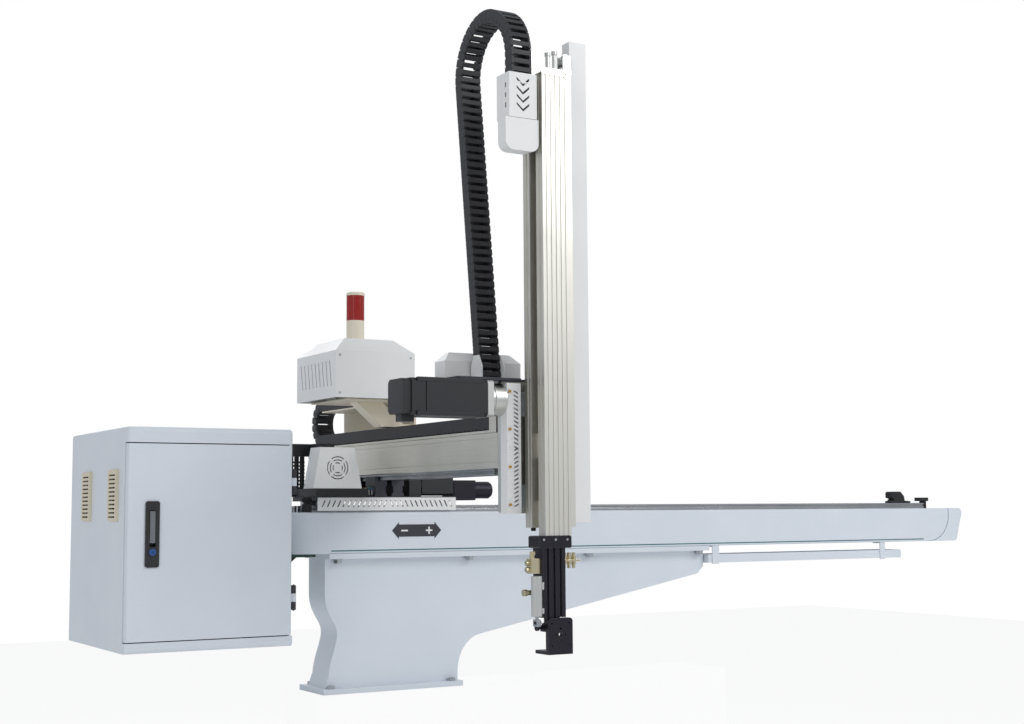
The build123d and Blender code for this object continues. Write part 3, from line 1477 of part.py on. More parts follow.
def main():
    """Writes every node."""
    nodes = {
        "base_pedestal": pedestal,
        "base_fasteners": base_fasteners,
        "beam_extrusion": beam_extrusion,
        "beam_end_caps": beam_end_caps,
        "traverse_rails": traverse_rails,
        "traverse_rack": rack,
        "rail_end_stops": rail_end_stops,
        "under_tray": under_tray,
        "cabinet_body": cabinet_body,
        "cabinet_vent_covers": cabinet_vent_covers,
        "cabinet_hinges": cabinet_hinges,
        "cabinet_door": cabinet_door,
        "lock_escutcheon": lock_escutcheon,
        "lock_lever": lock_lever,
        "lock_button": lock_button,
        "drive_panel": drive_panel,
        "cabinet_bracket": cabinet_bracket,
        "air_lockout_body": air_lockout_body,
        "air_lockout_slide": air_lockout_slide,
        "carriage_plate": carriage_plate,
        "traverse_slider_blocks": traverse_slider_blocks,
        "front_skirt": front_skirt,
        "fan_cover": fan_cover,
        "fan_rotor": fan_rotor,
        "traverse_motor": traverse_motor,
        "traverse_pinion": pinion,
        "junction_box": junction_box,
        "cross_bearing_blocks": cross_bearing_blocks,
        "crosswise_motor": crosswise_motor,
        "side_plate": side_plate,
        "valve_brace": valve_brace,
        "valve_box_cover": valve_box_cover,
        "valve_manifold": valve_manifold,
        "lamp_body": lamp_body,
        "lamp_lens": lamp_lens,
        "cable_conduits": cable_conduits,
        "crosswise_beam": crosswise_beam,
        "crosswise_rails": crosswise_rails,
        "chain_tray": chain_tray,
        "crosswise_chain": crosswise_chain,
        "arm_plate": arm_plate,
        "arm_motor": arm_motor,
        "arm_reducer": arm_reducer,
        "arm_top_plate": arm_top_plate,
        "rear_cover": rear_cover,
        "belt_guard": belt_guard,
        "arm_slider_blocks": arm_slider_blocks,
        "vertical_chain": vertical_chain,
        "stage1_profile": stage1_profile,
        "stage1_cover": stage1_cover,
        "stage1_top_bracket": stage1_top_bracket,
        "belt_pulley": belt_pulley,
        "chevron_box": chevron_box,
        "stage2_profile": stage2_profile,
        "wrist_column": wrist_column,
        "flip_cylinder": flip_cylinder,
        "flip_rod": flip_rod,
        "gripper_plate": gripper_plate,
        "wrist_fittings": wrist_fittings,
    }
    for name, make in nodes.items():
        save(name, make())
        print("wrote", name)


main()
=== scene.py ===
"""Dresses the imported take-out robot: finishes, cable chain links, screws, terminals and its studio."""

import logging
import math
from dataclasses import dataclass, field
from enum import Enum

import bmesh
import bpy
import numpy as np
from mathutils import Matrix, Vector

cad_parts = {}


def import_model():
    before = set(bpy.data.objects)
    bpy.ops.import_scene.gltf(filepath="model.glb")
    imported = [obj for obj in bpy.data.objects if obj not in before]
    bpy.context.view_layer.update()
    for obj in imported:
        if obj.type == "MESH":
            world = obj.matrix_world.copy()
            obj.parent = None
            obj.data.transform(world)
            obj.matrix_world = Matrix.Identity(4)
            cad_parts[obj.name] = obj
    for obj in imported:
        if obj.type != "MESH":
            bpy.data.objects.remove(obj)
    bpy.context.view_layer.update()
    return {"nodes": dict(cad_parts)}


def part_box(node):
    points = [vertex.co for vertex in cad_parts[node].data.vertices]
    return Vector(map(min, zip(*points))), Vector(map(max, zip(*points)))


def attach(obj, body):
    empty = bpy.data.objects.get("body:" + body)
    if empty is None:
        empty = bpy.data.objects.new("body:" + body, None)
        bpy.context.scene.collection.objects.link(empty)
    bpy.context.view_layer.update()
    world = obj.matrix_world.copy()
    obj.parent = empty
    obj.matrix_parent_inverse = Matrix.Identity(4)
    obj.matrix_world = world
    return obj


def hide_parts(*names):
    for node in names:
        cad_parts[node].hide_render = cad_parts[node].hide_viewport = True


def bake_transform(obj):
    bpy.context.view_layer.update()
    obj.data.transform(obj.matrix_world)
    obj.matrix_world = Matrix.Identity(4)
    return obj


MM = 0.001
LOG = logging.getLogger("take_out_robot")
Point = tuple[float, float, float]


class Surface(Enum):
    """How a surface was made, which settles the pattern that it shows."""

    POWDER = "powder coat"
    GROUND = "ground along its length"
    BLASTED = "blasted and anodised"
    MOULDED = "moulded"
    GLOSS = "polished mould"
    SPANGLE = "hot dip galvanised"


class Along(Enum):
    """The direction that a ground or extruded surface is drawn in, as stretch along X, Y and Z."""

    NONE = (1.0, 1.0, 1.0)
    X = (0.03, 1.0, 1.0)
    Y = (1.0, 0.03, 1.0)
    Z = (1.0, 1.0, 0.03)


@dataclass(frozen=True)
class Finish:
    """One real finish.

    Args:
        name: what the material is.
        colour: its main colour as sRGB hex.
        tint: the colour it drifts to, as sRGB hex.
        edge_wear_and_highlight: the lighter colour of its edges, as sRGB hex: rubbed wear on the black
            finishes, a painted highlight on the others.
        roughness: mean roughness.
        metallic: 1 for bare metal.
        surface: how it was made.
        along: the direction of grinding or extrusion.
        grain_mm: size of its grain in millimetres.
        relief_mm: depth of its grain in millimetres.
        edge_mm: radius of its broken edges in millimetres.
        clear: share of light that passes through.
    """

    name: str
    colour: str
    tint: str
    edge_wear_and_highlight: str
    roughness: float
    metallic: float = 0.0
    surface: Surface = Surface.POWDER
    along: Along = Along.NONE
    grain_mm: float = 3.0
    relief_mm: float = 0.05
    edge_mm: float = 0.8
    clear: float = 0.0


# Polyester powder coat, sprayed and baked: an even pale blue-grey with faint orange peel.
# The real peel is about 1 mm and is drawn at 3 mm, because it is too fine for the render.
PALE_COAT = Finish("powder_coat_pale", "E3E9F0", "DBE2EA", "F1F4F7", 0.42, relief_mm=0.03)
# The covers' powder coat is whiter and a little smoother, so it shows softer highlights.
WHITE_COAT = Finish("powder_coat_white", "F3F3F1", "EBECEC", "FBFBFA", 0.38, relief_mm=0.02)
# Stoved enamel on sheet metal, warmer than the covers.
CREAM_COAT = Finish("enamel_cream", "EFE7D4", "E7DDC7", "F6F0E2", 0.40, relief_mm=0.02)
# Moulded ABS louvres, yellowed a little, whose spark-eroded skin takes the gloss away.
ABS_CREAM = Finish(
    "abs_moulded_cream", "E6DEC8", "DDD3BA", "EFE9D8", 0.55, surface=Surface.MOULDED, relief_mm=0.03)
# Ground bearing steel: bright, with fine lines along the rail. Grinding lines of about 0.1 mm are
# drawn at 1.2 mm, because they are too fine for the render.
RAIL_X = Finish(
    "bearing_steel_ground", "B9BCBF", "9DA1A5", "D9DBDD", 0.28, 1.0, Surface.GROUND, Along.X, 1.2, 0.004)
RAIL_Y = Finish(
    "bearing_steel_ground_y", "A9ACB0", "8D9195", "D5D7D9", 0.28, 1.0, Surface.GROUND, Along.Y, 1.2, 0.004)
# Zinc plated steel: cool grey and slightly milky.
ZINC = Finish(
    "steel_zinc_plated", "C3C7CA", "A9AEB2", "E0E2E4", 0.36, 1.0, Surface.BLASTED,
    grain_mm=1.5, relief_mm=0.01)
# Hot dip galvanised sheet: frozen spangles about 9 mm across, as on the real sheet.
GALVANISED = Finish(
    "sheet_galvanised", "BCC1C4", "A5ABAF", "D8DBDD", 0.42, 1.0, Surface.SPANGLE,
    grain_mm=9.0, relief_mm=0.01)
# Milled aluminium plate: pale and bright, with faint cutter lines about 1.6 mm apart.
MILLED = Finish(
    "aluminium_milled", "DADBD8", "C9CAC6", "F0F0EE", 0.34, 1.0, Surface.GROUND, Along.Z, 1.6, 0.008)
# Natural anodised extrusion: warm matt silver with die lines along its length. The real lines are
# about 0.3 mm apart and are drawn at 2 mm, because they are too fine for the render.
EXTRUDED_Y = Finish(
    "aluminium_anodised_y", "E2E0D8", "D3D1C8", "F2F1EC", 0.40, 1.0, Surface.GROUND, Along.Y, 2.0, 0.006)
EXTRUDED_Z = Finish(
    "aluminium_anodised_z", "E6E4DC", "D6D4CB", "F4F3EE", 0.38, 1.0, Surface.GROUND, Along.Z, 2.0, 0.006)
# Satin black paint on cast motor bodies: dark, with soft broad highlights.
BLACK_PAINT = Finish("paint_satin_black", "26272B", "1D1E22", "4A4B50", 0.42, grain_mm=2.5, relief_mm=0.03)
# Black oxide on steel plate: a dull grey-violet black that rubs grey on its edges.
PLATE_BLACK = Finish("plate_black_oxide", "3B3B44", "2F2F38", "6A6A72", 0.46, grain_mm=2.5, relief_mm=0.02)
# Black anodised aluminium: faintly purple, with a metal sheen under the dye.
BLACK_ANODISED = Finish(
    "aluminium_anodised_black", "2E2B35", "25232B", "77747E", 0.40, 0.6, Surface.BLASTED,
    grain_mm=1.5, relief_mm=0.01)
# Glass-filled nylon of the cable chains: black with a dull, slightly streaky skin.
NYLON = Finish(
    "nylon_moulded_black", "222226", "2C2C31", "43434A", 0.48, surface=Surface.MOULDED,
    grain_mm=2.5, relief_mm=0.03, edge_mm=0.6)
# Moulded rubber of the buffers and stops: matt, with no highlight.
RUBBER = Finish(
    "rubber_moulded", "1D1D1F", "262628", "323234", 0.78, surface=Surface.MOULDED, grain_mm=2.0)
# Gloss ABS of the signal lamp's body: ivory with a sharp highlight.
LAMP_IVORY = Finish(
    "abs_gloss_ivory", "EDE6D2", "E6DEC8", "F7F2E6", 0.22, surface=Surface.GLOSS, relief_mm=0.005)
# Polycarbonate of the lamp's lens: clear red that lets some light through.
LAMP_RED = Finish(
    "polycarbonate_red", "D2231C", "B41511", "EE5A4C", 0.14, surface=Surface.GLOSS,
    relief_mm=0.005, clear=0.35)
# Zinc casting of the lock's lever, tumbled to a satin grey.
LOCK_GREY = Finish(
    "zinc_casting_satin", "8E9196", "7C7F84", "B9BCC0", 0.38, 1.0, Surface.BLASTED,
    grain_mm=1.5, relief_mm=0.01)
# The lock's escutcheon is the same casting, painted black.
LOCK_BLACK = Finish("zinc_casting_black", "1E1F22", "27282B", "55565A", 0.40, relief_mm=0.02)
# Gloss ABS of the lock's push button.
LOCK_BLUE = Finish(
    "abs_gloss_blue", "2C5FA8", "244F90", "5A88C8", 0.24, surface=Surface.GLOSS, relief_mm=0.005)
# Gloss red enamel on the lock-out valve's slide.
VALVE_RED = Finish(
    "enamel_red", "C8201C", "AE1714", "E35A50", 0.26, surface=Surface.GLOSS, relief_mm=0.005)
# Nickelled brass of the air fittings: pale yellow metal with bright edges.
NICKEL_BRASS = Finish(
    "brass_nickelled", "D8CFB2", "C7B98F", "EFE8D2", 0.26, 1.0, Surface.BLASTED,
    grain_mm=1.2, relief_mm=0.006)
# Turned brass of the belt guard's screws.
BRASS = Finish(
    "brass_turned", "CDA24E", "B98C3C", "EAC678", 0.24, 1.0, Surface.BLASTED,
    grain_mm=1.2, relief_mm=0.004)
# Dark green enamel on brackets.
GREEN = Finish("enamel_dark_green", "2B4A43", "223D37", "4C6F66", 0.38, relief_mm=0.02)
# Painted shade: a thin dark teal line along the beam's lower front edge, where its rounded lower corner turns
# into shade.
SHADE_LINE_TEAL = Finish("painted_shade_line_teal", "2F6E78", "285F68", "5A97A0", 0.40, relief_mm=0.01)
# Rolled aluminium strip between the terminals: nearly white metal.
PALE_SILVER = Finish(
    "aluminium_strip", "E9EAEA", "DADCDC", "F8F8F8", 0.30, 1.0, Surface.GROUND, Along.Z, 1.5, 0.004)
# Moulded plastic tags on the terminals: matt, one colour each.
TAN_TAG = Finish("tag_tan", "C9A878", "BC9A69", "D8BC92", 0.5, surface=Surface.MOULDED, relief_mm=0.01)
GREEN_TAG = Finish("tag_green", "4E8C6A", "437C5D", "72A98B", 0.5, surface=Surface.MOULDED, relief_mm=0.01)
BLUE_TAG = Finish("tag_blue", "3E78B8", "356AA5", "6B9BD0", 0.5, surface=Surface.MOULDED, relief_mm=0.01)

SLOT_FINISH: dict[str, Finish] = {
    "painted_pale": PALE_COAT, "cover_white": WHITE_COAT, "cream_paint": CREAM_COAT,
    "vent_plastic": ABS_CREAM, "rail_steel": RAIL_X, "zinc_steel": ZINC, "galvanised": GALVANISED,
    "machined_aluminium": MILLED, "anodised_aluminium": EXTRUDED_Z, "black_metal": PLATE_BLACK,
    "black_anodised": BLACK_ANODISED, "motor_black": BLACK_PAINT, "chain_plastic": NYLON,
    "rubber_black": RUBBER, "lamp_ivory": LAMP_IVORY, "lamp_red": LAMP_RED, "lock_grey": LOCK_GREY,
    "lock_black": LOCK_BLACK, "lock_blue": LOCK_BLUE, "valve_red": VALVE_RED,
    "brass_fittings": NICKEL_BRASS, "green_paint": GREEN,
}
NODE_FINISH: dict[str, Finish] = {
    "crosswise_beam": EXTRUDED_Y, "crosswise_rails": RAIL_Y, "chain_tray": EXTRUDED_Y,
}

# Slow drift of the colour over about 150 mm, as of handling and uneven coating
DRIFT_PER_METRE = 6.5
GRAIN_SHARE = 0.55
DRIFT_LOW, DRIFT_HIGH = 0.45, 1.1
# Cosine between the true and the rounded normal where an edge starts to lighten, and where it is lightest:
# rubbed wear on the black finishes, a painted highlight on the others
EDGE_START, EDGE_FULL = 0.995, 0.86
EDGE_MOST = 0.8
# How far the roughness goes below and above its mean
ROUGH_BELOW, ROUGH_ABOVE = 0.05, 0.07
RELIEF_STRENGTH = 0.8


def linear(code: str) -> tuple[float, float, float, float]:
    """Turns an sRGB hex colour to linear light.

    Args:
        code: six hex digits.

    Returns:
        Linear red, green, blue and an alpha of 1.
    """
    values = np.array([int(code[i:i + 2], 16) for i in (0, 2, 4)]) / 255.0
    light = np.where(values <= 0.04045, values / 12.92, ((values + 0.055) / 1.055) ** 2.4)
    return (*(float(v) for v in light), 1.0)


def add_node(tree: bpy.types.NodeTree, kind: str, settings: dict | None = None,
             inputs: dict | None = None) -> bpy.types.Node:
    """Adds a node with its settings and links.

    Args:
        tree: the node tree.
        kind: the node's type.
        settings: the node's own properties.
        inputs: a value, or a socket to link, for each input by name or number.

    Returns:
        The node.
    """
    node = tree.nodes.new(kind)
    for name, value in (settings or {}).items():
        setattr(node, name, value)
    for name, value in (inputs or {}).items():
        if isinstance(value, bpy.types.NodeSocket):
            tree.links.new(value, node.inputs[name])
        else:
            node.inputs[name].default_value = value
    return node


def grain_of(finish: Finish, tree: bpy.types.NodeTree, place: bpy.types.NodeSocket) -> bpy.types.NodeSocket:
    """The fine pattern of a finish: noise, drawn out along the grain, or the cells of a spangle.

    Args:
        finish: the finish.
        tree: the material's nodes.
        place: the Object coordinates.

    Returns:
        The socket of the pattern's height, from 0 to 1.
    """
    per_metre = 1.0 / (finish.grain_mm * MM)
    scale = tuple(per_metre * s for s in finish.along.value)
    stretched = add_node(tree, "ShaderNodeMapping", inputs={"Vector": place, "Scale": scale}).outputs[0]
    if finish.surface is Surface.SPANGLE:
        cells = add_node(tree, "ShaderNodeTexVoronoi", inputs={"Vector": stretched, "Scale": 1.0})
        return add_node(tree, "ShaderNodeSeparateColor", inputs={0: cells.outputs["Color"]}).outputs[0]
    noise = add_node(tree, "ShaderNodeTexNoise", inputs={"Vector": stretched, "Scale": 1.0, "Detail": 3.0})
    return noise.outputs[0]


def make_material(finish: Finish) -> bpy.types.Material:
    """Makes a finish's procedural material once, or gives back the one made before.

    The colour drifts with the grain and with slow noise; edges lighten where the rounded normal leaves the
    true one, as rubbed wear on the black finishes and a painted highlight on the others; and the grain sets
    the roughness and the relief.

    Args:
        finish: the finish.

    Returns:
        The material, on Object coordinates in metres.
    """
    known = bpy.data.materials.get(finish.name)
    if known:
        return known
    material = bpy.data.materials.new(finish.name)
    material.use_nodes = True
    tree = material.node_tree
    tree.nodes.clear()
    place = add_node(tree, "ShaderNodeTexCoord").outputs["Object"]
    grain = grain_of(finish, tree, place)
    broad = add_node(tree, "ShaderNodeTexNoise", inputs={
        "Vector": place, "Scale": DRIFT_PER_METRE, "Detail": 4.0})
    share = add_node(tree, "ShaderNodeMath", {"operation": "MULTIPLY_ADD"},
                     {0: grain, 1: GRAIN_SHARE, 2: broad.outputs[0]})
    drift = add_node(tree, "ShaderNodeMapRange", inputs={
        "Value": share.outputs[0], "From Min": DRIFT_LOW, "From Max": DRIFT_HIGH,
        "To Min": 0.0, "To Max": 1.0})
    body = add_node(tree, "ShaderNodeMix", {"data_type": "RGBA"},
                    {0: drift.outputs[0], 6: linear(finish.colour), 7: linear(finish.tint)})
    rounded = add_node(tree, "ShaderNodeBevel", {"samples": 4}, {"Radius": finish.edge_mm * MM})
    true = add_node(tree, "ShaderNodeNewGeometry")
    match = add_node(tree, "ShaderNodeVectorMath", {"operation": "DOT_PRODUCT"},
                     {0: rounded.outputs[0], 1: true.outputs["Normal"]})
    # Lighter edges: rubbed wear on the black finishes, a painted highlight on the pale, bare-metal and glossy
    # ones.
    wear_and_highlight_mask = add_node(tree, "ShaderNodeMapRange", inputs={
        "Value": match.outputs["Value"], "From Min": EDGE_START, "From Max": EDGE_FULL,
        "To Min": 0.0, "To Max": EDGE_MOST})
    shown = add_node(tree, "ShaderNodeMix", {"data_type": "RGBA"},
                     {0: wear_and_highlight_mask.outputs[0], 6: body.outputs[2], 7: linear(finish.edge_wear_and_highlight)})
    rough = add_node(tree, "ShaderNodeMapRange", inputs={
        "Value": share.outputs[0], "From Min": DRIFT_LOW, "From Max": DRIFT_HIGH,
        "To Min": finish.roughness - ROUGH_BELOW, "To Max": finish.roughness + ROUGH_ABOVE})
    relief = add_node(tree, "ShaderNodeBump", inputs={
        "Height": grain, "Distance": finish.relief_mm * MM, "Strength": RELIEF_STRENGTH,
        "Normal": rounded.outputs[0]})
    shader = add_node(tree, "ShaderNodeBsdfPrincipled", inputs={
        "Base Color": shown.outputs[2], "Roughness": rough.outputs[0], "Metallic": finish.metallic,
        "Normal": relief.outputs[0], "Transmission Weight": finish.clear})
    add_node(tree, "ShaderNodeOutputMaterial", inputs={"Surface": shader.outputs[0]})
    return material


def circle(sides: int) -> np.ndarray:
    """The points (cos a, sin a) for even angles a round a full turn.

    Args:
        sides: how many points.

    Returns:
        Rows of two.
    """
    angle = np.arange(sides) * (2 * math.pi / sides)
    return np.stack([np.cos(angle), np.sin(angle)], axis=-1)


def frame_of(axis: Point) -> np.ndarray:
    """Two directions square to an axis, and the axis itself.

    Args:
        axis: the direction.

    Returns:
        The three as the rows of a matrix, each of length 1.
    """
    main = np.array(axis, float) / np.linalg.norm(axis)
    upright = abs(main[2]) > 0.9
    helper = np.array([1.0, 0.0, 0.0]) if upright else np.array([0.0, 0.0, 1.0])
    side = np.cross(helper, main)
    side /= np.linalg.norm(side)
    return np.stack([side, np.cross(main, side), main])


def turned(centre: Point, axis: Point, profile: list[tuple[float, float]], sides: int = 24) -> np.ndarray:
    """A turned form: centre + radius (cos a, sin a) + height along the axis, for each ring.

    Args:
        centre: the foot of the profile, in metres.
        axis: the direction of its height.
        profile: radius and height of each ring, in millimetres.
        sides: points in each ring.

    Returns:
        Rings of points.
    """
    rows = frame_of(axis)
    radius, height = np.array(profile, float).T * MM
    flat = circle(sides)[None] * radius[:, None, None]
    return np.array(centre) + flat @ rows[:2] + height[:, None, None] * rows[2]


def block(low: Point, high: Point, edge: float = 0.8) -> np.ndarray:
    """A block with broken edges: a rectangle with cut corners, drawn in by the cut at both ends.

    Args:
        low: lowest corner, in metres.
        high: highest corner, in metres.
        edge: width of the broken edges, in millimetres.

    Returns:
        Four rings of eight points, stacked along Z.
    """
    a, b = np.array(low, float), np.array(high, float)
    cut = min(edge * MM, float((b - a).min()) * 0.45)
    plans = []
    for inset in (cut, 0.0, 0.0, cut):
        x0, x1, y0, y1 = a[0] + inset, b[0] - inset, a[1] + inset, b[1] - inset
        plans.append([
            (x0 + cut, y0), (x1 - cut, y0), (x1, y0 + cut), (x1, y1 - cut),
            (x1 - cut, y1), (x0 + cut, y1), (x0, y1 - cut), (x0, y0 + cut)])
    plan = np.array(plans)
    levels = np.array([a[2], a[2] + cut, b[2] - cut, b[2]])
    heights = np.broadcast_to(levels[:, None, None], (*plan.shape[:2], 1))
    return np.concatenate([plan, heights], axis=-1)


def plate_in_xz(outline: np.ndarray, back: float, front: float) -> np.ndarray:
    """A flat form: an outline in X and Z, carried from one Y to another.

    Args:
        outline: rows of x and z, in metres.
        back: Y of one face, in metres.
        front: Y of the other, in metres.

    Returns:
        Two rings of points.
    """
    rings = np.empty((2, len(outline), 3))
    rings[..., 0] = outline[:, 0]
    rings[..., 2] = outline[:, 1]
    rings[..., 1] = np.array([back, front])[:, None]
    return rings


@dataclass
class Gatherer:
    """Gathers closed forms and makes one mesh piece of them."""

    points: list[np.ndarray] = field(default_factory=list)
    faces: list[list[int]] = field(default_factory=list)
    total: int = 0

    def add(self, rings: np.ndarray) -> "Gatherer":
        """Adds a closed form: quads between neighbouring rings and a face on each end.

        Args:
            rings: points of shape (rings, points in a ring, 3).

        Returns:
            The gatherer, so that calls can follow each other.
        """
        count, size, _ = rings.shape
        row = np.arange(count - 1)[:, None] * size + self.total
        here = np.arange(size)[None]
        there = (here + 1) % size
        quads = np.stack([row + here, row + there, row + size + there, row + size + here], axis=-1)
        self.faces += quads.reshape(-1, 4).tolist()
        self.faces.append(list(range(self.total, self.total + size))[::-1])
        last = self.total + (count - 1) * size
        self.faces.append(list(range(last, last + size)))
        self.points.append(rings.reshape(-1, 3))
        self.total += count * size
        return self

    def add_each(self, rings: np.ndarray, places: np.ndarray) -> "Gatherer":
        """Adds a copy of a form moved to each place.

        Args:
            rings: the form about the origin.
            places: rows of x, y and z, in metres.

        Returns:
            The gatherer.
        """
        for place in places:
            self.add(rings + place)
        return self

    def mesh(self, name: str) -> bpy.types.Mesh:
        """Makes the mesh of everything gathered, with its faces turned outwards.

        Args:
            name: the mesh's name.

        Returns:
            The mesh.
        """
        mesh = bpy.data.meshes.new(name)
        mesh.from_pydata(np.concatenate(self.points), [], self.faces)
        work = bmesh.new()
        work.from_mesh(mesh)
        bmesh.ops.recalc_face_normals(work, faces=work.faces)
        work.to_mesh(mesh)
        work.free()
        return mesh

    def build(self, name: str, finish: Finish, slot: str) -> bpy.types.Object:
        """Makes the piece, at the origin.

        Args:
            name: the piece's name.
            finish: its finish.
            slot: not used.

        Returns:
            The object.
        """
        mesh = self.mesh(name)
        mesh.materials.append(make_material(finish))
        piece = bpy.data.objects.new(name, mesh)
        bpy.context.scene.collection.objects.link(piece)
        LOG.info("%s: %d faces", name, len(mesh.polygons))
        return piece


def corners(node: str) -> tuple[np.ndarray, np.ndarray]:
    """A CAD node's box.

    Args:
        node: the node's name.

    Returns:
        Its lowest and highest corners, in metres.
    """
    low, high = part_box(node)
    return np.array(low), np.array(high)


def screw_head(axis: Point, radius: float, height: float) -> np.ndarray:
    """A socket screw's head about the origin: a short cylinder with a broken edge and a sunk socket.

    Args:
        axis: the direction that it stands out in.
        radius: head radius, in millimetres.
        height: head height, in millimetres.

    Returns:
        Rings of points.
    """
    sunk, broken = 0.6, 0.5
    socket = radius * 0.5
    return turned((0, 0, 0), axis, [
        (radius, -sunk), (radius, height - broken), (radius - broken, height), (socket, height),
        (socket, height * 0.4), (0.2, height * 0.35)], 12)


@dataclass
class ChainLink:
    """One nylon link: two side plates with a lobed edge, and two crossbars.

    Sizes are in millimetres. The link lies along its second axis, and the lobed edge is on the side
    that its third axis points to.
    """

    width: float
    height: float = 32.0
    pitch: float = 20.0
    plate: float = 6.0
    bar: float = 4.0
    bar_length: float = 12.0
    bar_overlap: float = 0.6
    bar_edge: float = 0.9

    def forms(self) -> list[np.ndarray]:
        """The link's four closed forms about its own middle.

        Returns:
            Two side plates and two crossbars, as rings in metres.
        """
        half_w, half_h, half_p = self.width / 2, self.height / 2, self.pitch / 2
        outline = np.array([
            (-half_p + 0.3, -half_h), (half_p - 1.5, -half_h),
            (half_p + 1.2, -half_h + 4), (half_p + 1.2, half_h - 5),
            (half_p - 2.5, half_h - 1), (half_p - 6, half_h),
            (-half_p + 5, half_h), (-half_p + 0.3, half_h - 4)])
        shapes = []
        for side in (-1, 1):
            rings = np.empty((2, len(outline), 3))
            rings[..., 0] = (np.array([half_w - self.plate, half_w]) * side)[:, None]
            rings[..., 1:] = outline[None]
            shapes.append(rings * MM)
        inner = half_w - self.plate + self.bar_overlap
        for z in (-half_h, half_h - self.bar):
            low = np.array([-inner, -self.bar_length / 2, z]) * MM
            high = np.array([inner, self.bar_length / 2, z + self.bar]) * MM
            shapes.append(block(low, high, self.bar_edge))
        return shapes


def links_along(link: ChainLink, x: float, path: np.ndarray) -> Gatherer:
    """Sets links at even steps along a path in a plane of constant X.

    Each link is turned so that its second axis follows the path, and its third is the path's
    direction turned a quarter turn from Y towards Z.

    Args:
        link: the link.
        x: the plane, in metres.
        path: rows of y and z, in metres.

    Returns:
        A gatherer with every link.
    """
    reach = 4.0 * MM
    steps = np.linalg.norm(np.diff(path, axis=0), axis=1)
    along = np.concatenate([[0.0], np.cumsum(steps)])
    count = int(along[-1] / (link.pitch * MM))
    stations = (np.arange(count) + 0.5) * along[-1] / count
    middle, before, after = (
        np.stack([np.interp(stations + shift, along, path[:, k]) for k in (0, 1)], axis=-1)
        for shift in (0.0, -reach, reach))
    ahead = after - before
    ahead /= np.linalg.norm(ahead, axis=1, keepdims=True)
    gather = Gatherer()
    for form in link.forms():
        for (py, pz), (dy, dz) in zip(middle, ahead):
            placed = np.empty_like(form)
            placed[..., 0] = form[..., 0] + x
            placed[..., 1] = py + form[..., 1] * dy - form[..., 2] * dz
            placed[..., 2] = pz + form[..., 1] * dz + form[..., 2] * dy
            gather.add(placed)
    return gather


def arc_points(middle: tuple[float, float], radius: float, start: float, end: float) -> np.ndarray:
    """Points on an arc, middle + radius (cos a, sin a), from one angle to another.

    Args:
        middle: y and z of the centre, in metres.
        radius: radius, in metres.
        start: first angle, in radians.
        end: last angle, in radians.

    Returns:
        Rows of y and z, in metres.
    """
    angle = np.linspace(start, end, 60)
    return np.stack([middle[0] + radius * np.cos(angle), middle[1] + radius * np.sin(angle)], axis=-1)


